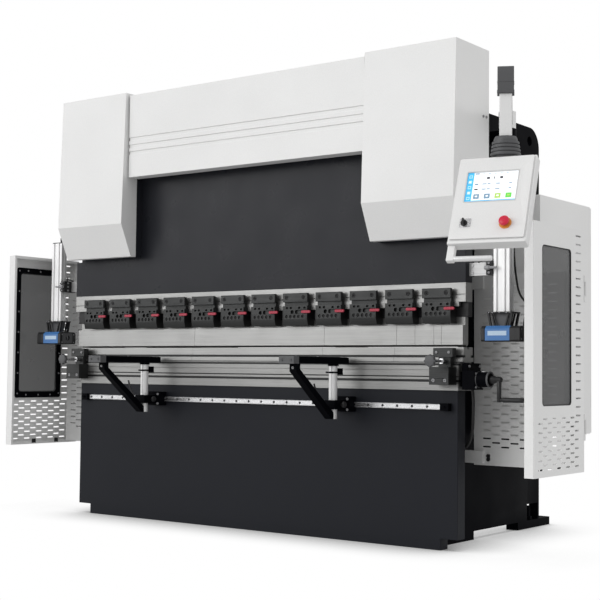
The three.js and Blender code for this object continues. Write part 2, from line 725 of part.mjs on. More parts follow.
// The box's group stands on the front face: +X to the right, +Y up the face and +Z out of it.
function faceMatrix() {
  const yaw = THREE.MathUtils.degToRad(CONTROL_BOX.yaw);
  const tilt = THREE.MathUtils.degToRad(CONTROL_BOX.tilt);
  const level = new THREE.Vector3(Math.sin(yaw), -Math.cos(yaw), 0);
  const up = new THREE.Vector3(0, 0, 1);
  const right = new THREE.Vector3(Math.cos(yaw), Math.sin(yaw), 0);
  const out = level.clone().multiplyScalar(Math.cos(tilt)).addScaledVector(up, Math.sin(tilt));
  const along = up.clone().multiplyScalar(Math.cos(tilt)).addScaledVector(level, -Math.sin(tilt));
  const matrix = new THREE.Matrix4().makeBasis(right, along, out);
  return matrix.setPosition(CONTROL_BOX.x, CONTROL_BOX.y, CONTROL_BOX.z);
}
const faceGroup = new THREE.Group();
faceGroup.applyMatrix4(faceMatrix());
machine.add(faceGroup);

const STOP_BUTTON = { x: 70, y: -115, stem: 8, cap: 21 };
const SELECTOR = { x: -97, y: -109, radius: 13 };
const DOOR_FACE = 9;

function controlBox() {
  const halfWidth = CONTROL_BOX.width / 2;
  const halfHeight = CONTROL_BOX.height / 2;
  const body = box([-halfWidth, halfWidth], [-halfHeight, halfHeight], [-45, 0]);
  const rearHousing = box([-110, 110], [-90, 150], [-95, -44]);
  const door = box([-152, 126], [-178, 192], [-1, DOOR_FACE]);
  const screenRecess = box([-114, 96], [-11, 127], [DOOR_FACE - 3, DOOR_FACE + 1]);
  const stopCollar = bar("z", [STOP_BUTTON.x, STOP_BUTTON.y, DOOR_FACE + 2], 19, 6, 20);
  const stopHole = bar("z", [STOP_BUTTON.x, STOP_BUTTON.y, DOOR_FACE - 4], STOP_BUTTON.stem + 0.6, 24, 16);
  const local = cut(join(body, rearHousing, door, stopCollar), screenRecess, stopHole);
  const inPlace = solid(geometryOf(local).toNonIndexed().applyMatrix4(faceMatrix()));
  const neck = bar("z", [PENDANT.tubeX, PENDANT.tubeY, 1645], 45, 60, 28);
  return join(inPlace, neck, swivelCoupling());
}
place("control_box", controlBox(), MATERIAL.whitePaint);

// Mushroom button: its stem slides in the door.
function emergencyStop() {
  const { x, y, stem, cap } = STOP_BUTTON;
  return join(bar("z", [x, y, DOOR_FACE + 7], stem, 20, 16), bar("z", [x, y, DOOR_FACE + 20], cap, 12, 20));
}
place("emergency_stop", emergencyStop(), MATERIAL.redPlastic, faceGroup);

function modeSelector() {
  const { x, y, radius } = SELECTOR;
  const dial = bar("z", [x, y, DOOR_FACE + GAP + 5], radius, 10, 20);
  const lever = box([x - 4, x + 4], [y - radius - 2, y + radius + 2], [DOOR_FACE + 8, DOOR_FACE + 24]);
  return join(dial, lever);
}
place("mode_selector", modeSelector(), MATERIAL.blackPlastic, faceGroup);

// Handle under the box: a flat leg and a round grip.
function pendantHandle() {
  const underside = -CONTROL_BOX.height / 2 - GAP;
  const leg = box([-157, -127], [underside - 66, underside], [-32, -8]);
  const grip = bar("x", [-60, underside - 54, -20], 11, 170, 16);
  return join(leg, grip);
}
place("pendant_handle", pendantHandle(), MATERIAL.whitePaint, faceGroup);

// ---------- Back gauge ----------

// Beam on two slide blocks that ride on the gauge base's rails.
function gaugeBeam() {
  const { railX, beamHalfWidth, beamFront, beamBack, beamBottom, beamTop } = GAUGE;
  const beam = box([-beamHalfWidth, beamHalfWidth], [beamFront, beamBack], [beamBottom, beamTop]);
  const blocks = [-railX, railX].map((x) =>
    box([x - 45, x + 45], [beamFront - 10, beamBack + 10], [620 + GAP, beamBottom + 5]),
  );
  return join(beam, ...blocks);
}
place("gauge_beam", gaugeBeam(), MATERIAL.aluminium);

// Stop finger: carriage on the beam, riser and the finger that reaches over the table to the die.
function gaugeFinger() {
  const { beamFront, beamTop } = GAUGE;
  const carriage = box([-40, 40], [beamFront - 20, beamFront + 60], [beamTop + GAP, beamTop + 24]);
  const riser = box([-20, 20], [beamFront - 20, beamFront + 20], [beamTop + 10, 935]);
  const finger = box([-15, 15], [80, beamFront + 10], [908, 935]);
  return join(carriage, riser, finger);
}
for (const [side, sign] of [["right", 1], ["left", -1]]) {
  place(`${side}_gauge_finger`, gaugeFinger(), MATERIAL.machinedSteel).position.x = sign * 450;
}

export default machine;
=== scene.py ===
import json
import math
from contextlib import contextmanager

import bmesh
import bpy
from mathutils import Matrix, Vector
from mathutils.geometry import tessellate_polygon


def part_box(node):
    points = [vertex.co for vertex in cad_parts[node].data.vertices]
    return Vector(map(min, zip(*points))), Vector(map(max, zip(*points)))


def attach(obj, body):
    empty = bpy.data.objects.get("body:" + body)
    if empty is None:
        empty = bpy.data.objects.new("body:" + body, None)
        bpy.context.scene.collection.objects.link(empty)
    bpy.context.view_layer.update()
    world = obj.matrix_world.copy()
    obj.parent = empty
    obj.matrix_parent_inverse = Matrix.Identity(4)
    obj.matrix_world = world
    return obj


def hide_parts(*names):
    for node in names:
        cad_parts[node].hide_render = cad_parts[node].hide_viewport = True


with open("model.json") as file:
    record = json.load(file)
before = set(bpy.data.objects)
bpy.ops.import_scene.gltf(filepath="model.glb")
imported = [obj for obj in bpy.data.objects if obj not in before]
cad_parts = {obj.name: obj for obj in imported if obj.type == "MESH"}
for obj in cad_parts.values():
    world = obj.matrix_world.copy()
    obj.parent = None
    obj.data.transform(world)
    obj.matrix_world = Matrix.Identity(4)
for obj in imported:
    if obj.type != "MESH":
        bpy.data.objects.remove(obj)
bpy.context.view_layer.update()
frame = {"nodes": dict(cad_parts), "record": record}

MM = 0.001
UP, LEFT, RIGHT, FRONT = (0, 0, 1), (-1, 0, 0), (1, 0, 0), (0, -1, 0)
SIDES = (("right", 1), ("left", -1))
BODY_OF = {node: body for body, nodes in frame["record"]["behaviour"]["bodies"].items() for node in nodes}


def box_of(node):
    """A CAD node's box in millimetres: ((x0, x1), (y0, y1), (z0, z1))."""
    low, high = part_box(node)
    return tuple((a / MM, b / MM) for a, b in zip(low, high))


# ---------- Materials ----------


class Graph:
    """Short calls for the node graphs of materials and of the world."""

    def __init__(self, tree):
        self.nodes = tree.nodes
        self.links = tree.links

    def add(self, kind, inputs=None, **settings):
        """A new node. Each input is a plain value or another node's output."""
        node = self.nodes.new(kind)
        for key, value in settings.items():
            setattr(node, key, value)
        for key, value in (inputs or {}).items():
            if isinstance(value, bpy.types.NodeSocket):
                self.links.new(value, node.inputs[key])
            else:
                node.inputs[key].default_value = value
        return node

    def remap(self, value, low, high, start=0.3, end=0.7):
        ends = {"Value": value, "From Min": start, "From Max": end, "To Min": low, "To Max": high}
        return self.add("ShaderNodeMapRange", ends).outputs["Result"]

    def maths(self, operation, first, second):
        return self.add("ShaderNodeMath", {0: first, 1: second}, operation=operation).outputs[0]

    def for_camera(self, seen, otherwise):
        """One value for rays straight from the camera, another for all other rays."""
        camera_ray = self.add("ShaderNodeLightPath").outputs["Is Camera Ray"]
        direct = self.maths("MULTIPLY", camera_ray, seen)
        rest = self.maths("MULTIPLY", self.maths("SUBTRACT", 1.0, camera_ray), otherwise)
        return self.maths("ADD", direct, rest)


class Finish(Graph):
    """A Principled material whose colour, roughness and bump come from procedural nodes."""

    def __init__(self, name, slot, colour, roughness, metallic=0.0, specular=0.5):
        self.material = bpy.data.materials.new(name)
        self.material.use_nodes = True
        super().__init__(self.material.node_tree)
        self.shader = self.nodes["Principled BSDF"]
        self.shader.inputs["Metallic"].default_value = metallic
        self.shader.inputs["Specular IOR Level"].default_value = specular
        self.coords = self.add("ShaderNodeTexCoord").outputs["Object"]
        self.colour = self.add("ShaderNodeRGB").outputs[0]
        self.colour.default_value = (*colour, 1.0)
        self.roughness = self.add("ShaderNodeValue").outputs[0]
        self.roughness.default_value = roughness
        self.height = None

    def noise(self, scale, stretch=(1, 1, 1), detail=3.0):
        mapping = self.add("ShaderNodeMapping", {"Vector": self.coords, "Scale": stretch})
        inputs = {"Vector": mapping.outputs["Vector"], "Scale": scale, "Detail": detail}
        return self.add("ShaderNodeTexNoise", inputs).outputs["Fac"]

    def shade(self, value):
        """Multiplies the colour by a number that varies over the surface."""
        inputs = {0: self.colour, "Scale": value}
        self.colour = self.add("ShaderNodeVectorMath", inputs, operation="SCALE").outputs[0]

    def mottle(self, scale, amount, stretch=(1, 1, 1)):
        self.shade(self.remap(self.noise(scale, stretch), 1 - amount, 1 + amount))

    def vary_roughness(self, scale, amount, stretch=(1, 1, 1)):
        drift = self.remap(self.noise(scale, stretch), -amount, amount)
        self.roughness = self.maths("ADD", self.roughness, drift)

    def bump(self, scale, distance_mm, stretch=(1, 1, 1)):
        value = self.maths("MULTIPLY", self.noise(scale, stretch, 2.0), distance_mm)
        self.height = value if self.height is None else self.maths("ADD", self.height, value)

    def edge_highlight_and_wear(self, colour, radius_mm):
        """Lightens convex edges in broken patches: a painted edge highlight where light catches the edges,
        together with rubbed wear on the finish.
        """
        bevel = self.add("ShaderNodeBevel", {"Radius": radius_mm * MM}, samples=4)
        true_normal = self.add("ShaderNodeNewGeometry").outputs["Normal"]
        normals = {0: bevel.outputs[0], 1: true_normal}
        dot = self.add("ShaderNodeVectorMath", normals, operation="DOT_PRODUCT")
        edge = self.remap(dot.outputs["Value"], 1.0, 0.0, 0.86, 0.99)
        patches = self.remap(self.noise(90.0), 0.0, 0.8, 0.48, 0.6)
        colour_a, colour_b = 6, 7
        inputs = {colour_a: self.colour, colour_b: (*colour, 1.0)}
        inputs["Factor"] = self.maths("MULTIPLY", edge, patches)
        self.colour = self.add("ShaderNodeMix", inputs, data_type="RGBA").outputs[2]

    def done(self):
        self.links.new(self.colour, self.shader.inputs["Base Color"])
        self.links.new(self.roughness, self.shader.inputs["Roughness"])
        if self.height is not None:
            bump = self.add("ShaderNodeBump", {"Distance": MM, "Height": self.height})
            self.links.new(bump.outputs["Normal"], self.shader.inputs["Normal"])
        return self.material


def powder_coat(name, slot, colour, roughness, texture_mm, specular=0.4, edge_highlight_and_wear_colour=None):
    """Sprayed and baked paint: orange peel, a faint drift in tone and slightly uneven gloss."""
    f = Finish(name, slot, colour, roughness, specular=specular)
    f.mottle(1.3, 0.03)
    f.mottle(420.0, 0.04)
    f.vary_roughness(6.0, 0.05)
    f.bump(650.0, texture_mm)
    f.bump(140.0, texture_mm * 0.8)
    # Lighter edges: painted edge highlight together with rubbed wear.
    if edge_highlight_and_wear_colour:
        f.edge_highlight_and_wear(edge_highlight_and_wear_colour, 1.2)
    return f.done()


def ground_steel(name, slot, colour, roughness, along, streak=0.10, edge_highlight_and_wear_colour=None, metallic=0.9):
    """Metal ground lengthwise: fine scratches along one axis, with soft clouds of tarnish."""
    f = Finish(name, slot, colour, roughness, metallic=metallic)
    fine = tuple(0.008 if axis == along else 1.0 for axis in "xyz")
    f.mottle(900.0, streak, fine)
    f.mottle(130.0, streak * 0.7, fine)
    f.mottle(2.0, 0.04)
    f.vary_roughness(500.0, 0.09, fine)
    f.vary_roughness(9.0, 0.05)
    f.bump(1100.0, 0.02, fine)
    # Lighter edges: painted edge highlight together with rubbed wear.
    if edge_highlight_and_wear_colour:
        f.edge_highlight_and_wear(edge_highlight_and_wear_colour, 0.8)
    return f.done()


def moulded(name, slot, colour, roughness, grain_mm=0.05, specular=0.4):
    f = Finish(name, slot, colour, roughness, specular=specular)
    f.mottle(500.0, 0.08)
    f.vary_roughness(30.0, 0.06)
    f.bump(900.0, grain_mm)
    return f.done()


WHITE = powder_coat("white_powder_coat", "white_paint", (0.80, 0.80, 0.795), 0.38, 0.035)
CABINET_WHITE = powder_coat("cabinet_powder_coat", "white_paint", (0.80, 0.80, 0.795), 0.4, 0.035)
PANEL_GREY = powder_coat("panel_powder_coat", "grey_paint", (0.66, 0.66, 0.655), 0.42, 0.035)
GRAPHITE = powder_coat("graphite_powder_coat", "graphite_paint", (0.0138, 0.0150, 0.0192), 0.45, 0.09, 0.11)
RAM_GRAPHITE = powder_coat("ram_powder_coat", "graphite_paint", (0.0170, 0.0180, 0.0225), 0.30, 0.07, 0.15)
BLACK = powder_coat("black_paint", "black_paint", (0.0016, 0.0018, 0.0030), 0.55, 0.05, 0.03)
# Its last colour lightens the edges: painted edge highlight with rubbed wear.
TRIM_BLACK = powder_coat("black_trim", "blackened_steel", (0.010, 0.010, 0.011), 0.4, 0.05, 0.35, (0.06,) * 3)
STEEL = ground_steel("ground_steel", "machined_steel", (0.315, 0.315, 0.31), 0.40, "x", 0.05)
BRIGHT = ground_steel("bright_steel", "machined_steel", (0.62, 0.62, 0.63), 0.26, "x", 0.05)
TABLE_STEEL = ground_steel("table_steel", "machined_steel", (0.27, 0.27, 0.265), 0.42, "x", 0.07)
# Its last colour lightens the edges: painted edge highlight with rubbed wear.
OXIDE = ground_steel("black_oxide", "blackened_steel", (0.046, 0.047, 0.047), 0.46, "x", 0.08, (0.24,) * 3)
CHROME = ground_steel("hard_chrome", "chrome", (0.72, 0.72, 0.73), 0.14, "z", 0.05)
ALUMINIUM = ground_steel("anodised_aluminium", "aluminium", (0.80,) * 3, 0.42, "z", 0.04, metallic=0.35)
ZINC = moulded("zinc_screws", "machined_steel", (0.30, 0.30, 0.31), 0.35, 0.02)
DARK_SCREW = ground_steel(
    "black_screws", "blackened_steel", (0.012, 0.012, 0.013), 0.5, "y", 0.2, metallic=0.3)
CASTING = moulded("grey_casting", "black_plastic", (0.085, 0.086, 0.090), 0.5, 0.12)
PLASTIC = moulded("black_plastic", "black_plastic", (0.012, 0.012, 0.013), 0.45)
RUBBER = moulded("black_rubber", "black_plastic", (0.010, 0.010, 0.010), 0.6, 0.08)
RED = moulded("red_plastic", "red_plastic", (0.62, 0.014, 0.050), 0.32, 0.02)
LEVER_RED = moulded("lever_red", "red_plastic", (0.38, 0.022, 0.050), 0.4, 0.03)
LENS_GLASS = moulded("lens_glass", "chrome", (0.012, 0.012, 0.016), 0.08, 0.0, 0.8)
LIGHT_METAL = ground_steel("light_metal", "aluminium", (0.52, 0.52, 0.52), 0.45, "x", 0.05, metallic=0.4)
AMBER = moulded("amber_plastic", "red_plastic", (0.72, 0.28, 0.05), 0.35, 0.02)
BLUE_LABEL = moulded("blue_label", "black_plastic", (0.050, 0.17, 0.42), 0.35, 0.02)
PALE_LABEL = moulded("pale_label", "white_paint", (0.45, 0.58, 0.72), 0.35, 0.02)
MOTOR_GREY = powder_coat("motor_paint", "grey_paint", (0.12, 0.125, 0.13), 0.42, 0.08)
HOSE = moulded("hydraulic_hose", "black_plastic", (0.014, 0.014, 0.014), 0.5, 0.2)


def smoked_sheet():
    """Tinted polycarbonate: dark, glossy and a little see-through."""
    f = Finish("smoked_window", "black_plastic", (0.075, 0.076, 0.078), 0.22, specular=0.5)
    f.mottle(2.0, 0.12)
    f.vary_roughness(14.0, 0.06)
    f.bump(25.0, 0.02)
    material = f.done()
    f.shader.inputs["Alpha"].default_value = 0.76
    return material


WINDOW = smoked_sheet()


def screen_colour(name, colour):
    """Lit display colour with a faint pixel grid."""
    f = Finish(name, "white_paint", colour, 0.25)
    f.mottle(900.0, 0.05)
    material = f.done()
    f.links.new(f.colour, f.shader.inputs["Emission Color"])
    f.shader.inputs["Emission Strength"].default_value = 0.55
    return material


SCREEN_COLOURS = {
    "white": (0.80, 0.82, 0.84),
    "blue": (0.06, 0.42, 0.72),
    "pale_blue": (0.35, 0.62, 0.80),
    "dark": (0.05, 0.05, 0.06),
    "slate": (0.16, 0.26, 0.36),
    "lime": (0.36, 0.55, 0.12),
    "green": (0.12, 0.55, 0.08),
}
SCREEN = [screen_colour("display_" + name, colour) for name, colour in SCREEN_COLOURS.items()]


# ---------- Mesh building ----------


def circle(centre, radius, sides=24, start=0.0):
    u, v = centre
    angles = [start + 2 * math.pi * i / sides for i in range(sides)]
    return [(u + radius * math.cos(a), v + radius * math.sin(a)) for a in angles]


def slot_outline(centre, length, height, steps=4):
    """A round-ended slot lying along the first axis."""
    u, v = centre
    r = height / 2
    half = length / 2 - r
    points = []
    for side, start in ((1, -math.pi / 2), (-1, math.pi / 2)):
        for i in range(steps + 1):
            a = start + math.pi * i / steps
            points.append((u + side * half + r * math.cos(a), v + r * math.sin(a)))
    return points


def rectangle(u, v):
    return [(u[0], v[0]), (u[1], v[0]), (u[1], v[1]), (u[0], v[1])]


def rounded(u, v, radius, steps=5):
    (u0, u1), (v0, v1) = u, v
    corners = [(u1 - radius, v0 + radius, -90), (u1 - radius, v1 - radius, 0)]
    corners += [(u0 + radius, v1 - radius, 90), (u0 + radius, v0 + radius, 180)]
    points = []
    for cu, cv, start in corners:
        for i in range(steps + 1):
            a = math.radians(start + 90 * i / steps)
            points.append((cu + radius * math.cos(a), cv + radius * math.sin(a)))
    return points


def at_x(x):
    return Matrix.Translation((x, 0, 0))


def facing(at, axis):
    """Moves the origin to a point and turns +Z to an axis."""
    turn = Vector(UP).rotation_difference(Vector(axis)).to_matrix().to_4x4()
    return Matrix.Translation(Vector(at)) @ turn


class Shape:
    """Closed solids collected into one mesh, in millimetres, through a placing matrix."""

    def __init__(self, matrix=None):
        self.bm = bmesh.new()
        self.matrix = matrix or Matrix.Identity(4)

    def add(self, points, faces, index=0):
        verts = [self.bm.verts.new(self.matrix @ Vector(p)) for p in points]
        for face in faces:
            self.bm.faces.new([verts[i] for i in face]).material_index = index
        return self

    def box(self, x, y, z):
        points = [(a, b, c) for c in z for b in y for a in x]
        faces = [(0, 2, 3, 1), (4, 5, 7, 6), (0, 1, 5, 4), (2, 6, 7, 3), (0, 4, 6, 2), (1, 3, 7, 5)]
        return self.add(points, faces)

    def prism(self, axis, span, outline, holes=(), index=0):
        """Extrudes an outline, with holes, along an axis. The outline's plane is (y, z), (x, z) or (x, y)."""
        place = {
            "x": lambda u, v, w: (w, u, v),
            "y": lambda u, v, w: (u, w, v),
            "z": lambda u, v, w: (u, v, w),
        }[axis]
        rings = [list(outline)] + [list(h) for h in holes]
        flat = [p for ring in rings for p in ring]
        count = len(flat)
        points = [place(u, v, w) for w in span for u, v in flat]
        if holes:
            caps = tessellate_polygon([[Vector((u, v, 0)) for u, v in ring] for ring in rings])
        else:
            caps = [tuple(range(count))]
        faces = [tuple(cap) for cap in caps] + [tuple(count + i for i in reversed(cap)) for cap in caps]
        start = 0
        for ring in rings:
            n = len(ring)
            for i in range(n):
                a, b = start + i, start + (i + 1) % n
                faces.append((a, b, count + b, count + a))
            start += n
        return self.add(points, faces, index)

    def bar(self, axis, at, radius, span, sides=28):
        return self.prism(axis, span, circle(at, radius, sides))

    def ring(self, axis, at, radius, hole, span, sides=28):
        return self.prism(axis, span, circle(at, radius, sides), [circle(at, hole, sides)])

    def lathe(self, origin, axis, profile, sides=36):
        """Turns a profile of (radius, distance along the axis) that starts and ends on the axis."""
        place = facing(origin, axis)
        middle = profile[1:-1]
        points = [place @ Vector((0, 0, profile[0][1]))]
        for radius, height in middle:
            for u, v in circle((0, 0), radius, sides):
                points.append(place @ Vector((u, v, height)))
        points.append(place @ Vector((0, 0, profile[-1][1])))
        last = len(points) - 1
        faces = []
        for i in range(sides):
            j = (i + 1) % sides
            faces.append((0, 1 + j, 1 + i))
            for k in range(len(middle) - 1):
                a, b = 1 + k * sides, 1 + (k + 1) * sides
                faces.append((a + i, a + j, b + j, b + i))
            a = 1 + (len(middle) - 1) * sides
            faces.append((a + i, a + j, last))
        return self.add(points, faces)

    def stack(self, at, axis, layers):
        """Prisms along an axis from a point. A layer is a span, an outline and any holes."""
        keep = self.matrix
        self.matrix = keep @ facing(at, axis)
        for span, outline, *holes in layers:
            self.prism("z", span, outline, holes)
        self.matrix = keep
        return self

    def screw(self, at, axis, radius=7.0, height=6.0):
        """Socket-head screw whose head stands out along the axis."""
        floor = height * 0.4
        head = circle((0, 0), radius, 20)
        socket = circle((0, 0), radius * 0.5, 6)
        return self.stack(at, axis, [((floor, height), head, socket), ((0, floor), head)])

    def hexagon(self, at, axis, radius, height, stud=0.0):
        """Hexagon nut or head, with an optional stud end through it."""
        layers = [((0, height), circle((0, 0), radius, 6))]
        if stud:
            layers.append(((0, stud), circle((0, 0), radius * 0.55, 18)))
        return self.stack(at, axis, layers)

    def tube(self, points, radius, sides=12, steps=8):
        """A round cable or pipe through the points, as a smooth curve."""
        path = smooth_path([Vector(p) for p in points], steps)
        rings = []
        normal = None
        for i, p in enumerate(path):
            ahead = (path[min(i + 1, len(path) - 1)] - path[max(i - 1, 0)]).normalized()
            if normal is None:
                normal = ahead.orthogonal().normalized()
            normal = (normal - ahead * normal.dot(ahead)).normalized()
            side = ahead.cross(normal)
            rings.append([p + normal * u + side * v for u, v in circle((0, 0), radius, sides)])
        flat = [p for ring in rings for p in ring]
        faces = [tuple(range(sides)), tuple(reversed(range(len(flat) - sides, len(flat))))]
        for k in range(len(rings) - 1):
            for i in range(sides):
                j = (i + 1) % sides
                faces.append((k * sides + i, k * sides + j, (k + 1) * sides + j, (k + 1) * sides + i))
        return self.add(flat, faces)

    def cut(self, other):
        """Takes another shape's solids away from this one."""
        result = carve(self.mesh("body"), other.mesh("cutter"))
        self.bm.free()
        self.bm = bmesh.new()
        self.bm.from_mesh(result)
        bpy.data.meshes.remove(result)
        self.bm.transform(Matrix.Scale(1 / MM, 4))
        return self

    def mesh(self, name):
        bmesh.ops.recalc_face_normals(self.bm, faces=self.bm.faces)
        copy = self.bm.copy()
        copy.transform(Matrix.Scale(MM, 4))
        mesh = bpy.data.meshes.new(name)
        copy.to_mesh(mesh)
        copy.free()
        return mesh

    def piece(self, name, *finish, **options):
        """Makes the object, as as_piece does."""
        return as_piece(self.mesh(name), name, *finish, **options)


def smooth_path(points, steps):
    """Catmull-Rom curve through the points."""
    ends = [points[0] * 2 - points[1]] + points + [points[-1] * 2 - points[-2]]
    path = []
    for a, b, c, d in zip(ends, ends[1:], ends[2:], ends[3:]):
        for i in range(steps):
            t = i / steps
            square, cube = 2 * a - 5 * b + 4 * c - d, 3 * b - a - 3 * c + d
            path.append(0.5 * (2 * b + (c - a) * t + square * t**2 + cube * t**3))
    path.append(points[-1])
    return path


def carve(mesh, cutter):
    """A mesh less another mesh, by an exact boolean."""
    target = bpy.data.objects.new("target", mesh)
    tool = bpy.data.objects.new("tool", cutter)
    for o in (target, tool):
        bpy.context.scene.collection.objects.link(o)
    modifier = target.modifiers.new("cut", "BOOLEAN")
    modifier.operation = "DIFFERENCE"
    modifier.solver = "EXACT"
    modifier.use_self = True
    modifier.object = tool
    bpy.context.view_layer.update()
    shaped = target.evaluated_get(bpy.context.evaluated_depsgraph_get())
    result = bpy.data.meshes.new_from_object(shaped)
    for o in (target, tool):
        old = o.data
        bpy.data.objects.remove(o)
        bpy.data.meshes.remove(old)
    return result


def as_piece(mesh, name, body, material, bevel=0.0, replaces=(), segments=2, slot=None, smooth=35.0):
    """An object with rounded edges, a body to ride on and its materials. The slot argument is not used."""
    obj = bpy.data.objects.new(name, mesh)
    bpy.context.scene.collection.objects.link(obj)
    materials = material if isinstance(material, list) else [material]
    for m in materials:
        mesh.materials.append(m)
    mesh.shade_smooth()
    mesh.set_sharp_from_angle(angle=math.radians(smooth))
    if bevel:
        rounding = obj.modifiers.new("edges", "BEVEL")
        rounding.width = bevel * MM
        rounding.segments = segments
        rounding.limit_method = "ANGLE"
        rounding.angle_limit = math.radians(smooth)
        rounding.harden_normals = True
        rounding.miter_outer = "MITER_ARC"
    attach(obj, body)
    if replaces:
        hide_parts(*replaces)
    return obj


def refine(node, material, bevel, segments):
    """Rebuilds a CAD node with merged faces and rounded edges, in its place."""
    bm = bmesh.new()
    bm.from_mesh(frame["nodes"][node].data)
    bmesh.ops.remove_doubles(bm, verts=bm.verts, dist=1e-5)
    bmesh.ops.dissolve_limit(bm, angle_limit=math.radians(0.6), verts=bm.verts, edges=bm.edges)
    bmesh.ops.recalc_face_normals(bm, faces=bm.faces)
    mesh = bpy.data.meshes.new(node)
    bm.to_mesh(mesh)
    bm.free()
    return as_piece(mesh, node + "_finished", BODY_OF[node], material, bevel, (node,), segments, smooth=30.0)


def mirror(sign):
    """Leaves the right-hand side (1) alone and mirrors it for the left (-1)."""
    return Matrix.Identity(4) if sign > 0 else Matrix.Scale(-1, 4, RIGHT)


class Kit:
    """Makes pieces that share a body, a placing, a name's first word and the CAD node they stand for."""

    def __init__(self, body, matrix=None, prefix="", node=None):
        self.body = body
        self.matrix = matrix
        self.prefix = prefix + "_" if prefix else ""
        self.node = node

    @contextmanager
    def __call__(self, name, material, bevel=0.0, stands_for_node=False, **options):
        shape = Shape(self.matrix)
        yield shape
        replaces = [self.node] if stands_for_node else []
        shape.piece(self.prefix + name, self.body, material, bevel, replaces, **options)


# ---------- Frame, bed and hydraulics ----------

PLAIN_NODES = (
    ("side_frame", BLACK, 2.0, 2),
    ("cylinder", BLACK, 2.5, 2),
    ("piston_rod", CHROME, 1.0, 2),
    ("cylinder_cover", WHITE, 1.6, 3),
    ("bed_plate", GRAPHITE, 2.5, 3),
    ("upper_cross_beam", BLACK, 2.0, 2),
    ("gauge_base", GRAPHITE, 2.0, 2),
    ("oil_tank", GRAPHITE, 2.5, 2),
    ("pump_motor", MOTOR_GREY, 1.5, 2),
    ("ram_plate", RAM_GRAPHITE, 2.0, 3),
    ("beam_cover", WHITE, 1.2, 3),
    ("electrical_cabinet", CABINET_WHITE, 2.0, 2),
    ("cabinet_door", CABINET_WHITE, 2.5, 2),
    ("crowning_drive", BLACK, 2.0, 2),
    ("pendant_bracket", BLACK, 2.5, 2),
    ("pendant_arm", WHITE, 2.5, 2),
    ("support_carriage", BLACK, 1.8, 2),
    ("laser_column", ALUMINIUM, 1.2, 2),
    ("gauge_beam", ALUMINIUM, 1.5, 2),
    ("gauge_finger", STEEL, 1.2, 2),
)
for name, *look in PLAIN_NODES:
    for node in (name, "right_" + name, "left_" + name):
        if node in frame["nodes"]:
            refine(node, *look)


def hydraulics():
    """Motor fins, tank lid and level gauge, hoses with their fittings, and cylinder head bolts."""
    make = Kit("frame")
    _, (y0, y1), _ = box_of("pump_motor")
    shaft_y, shaft_z = (y0 + y1) / 2, 1975
    with make("motor_fins", MOTOR_GREY, 0.6) as fins:
        for i in range(24):
            a = 2 * math.pi * i / 24
            above_foot, below_lid = -0.75 < math.sin(a), math.sin(a) < 0.8
            if above_foot and below_lid:
                fins.matrix = Matrix.Translation((0, shaft_y, shaft_z)) @ Matrix.Rotation(a, 4, "X")
                fins.box((-215, 95), (101, 116), (-2, 2))
    lid_top = 1856
    with make("tank_lid", GRAPHITE, 0.8) as lid:
        lid.box((-690, 690), (270, 770), (lid_top - 5.8, lid_top))
        for x in range(-660, 661, 110):
            for y in (285, 755):
                lid.hexagon((x, y, lid_top), UP, 9, 6)
    with make("level_gauge", PLASTIC, 1.0) as gauge:
        gauge.prism("y", (780.2, 788), rounded((560, 590), (1560, 1720), 10))
    with make("level_glass", AMBER, 0.6) as glass:
        glass.prism("y", (788, 791), rounded((569, 581), (1580, 1700), 5))
    cylinder_x, cylinder_y, cylinder_top = 885, -12, 2160
    with make("hydraulic_hoses", HOSE) as hoses, make("hose_fittings", ZINC, 0.8) as fittings:
        for sign in (1, -1):
            for step, offset in enumerate((-22, 22)):
                port = sign * (340 + 60 * step)
                rise = (port + sign * 40, 470, 2020 + 20 * step)
                bend = [(sign * 640, 260, 2175), (sign * 800, 60, 2262)]
                end = (sign * cylinder_x, cylinder_y + offset, 2232)
                hoses.tube([(port, 500, lid_top + 2), rise, *bend, end], 13, 14, 10)
                fittings.hexagon((port, 500, lid_top), UP, 22, 26, 34)
    with make("cylinder_head_bolts", DARK_SCREW, 0.6) as bolts:
        for sign in (1, -1):
            for x, y in circle((sign * cylinder_x, cylinder_y), 80, 8, math.pi / 8):
                bolts.hexagon((x, y, cylinder_top), UP, 10, 8)


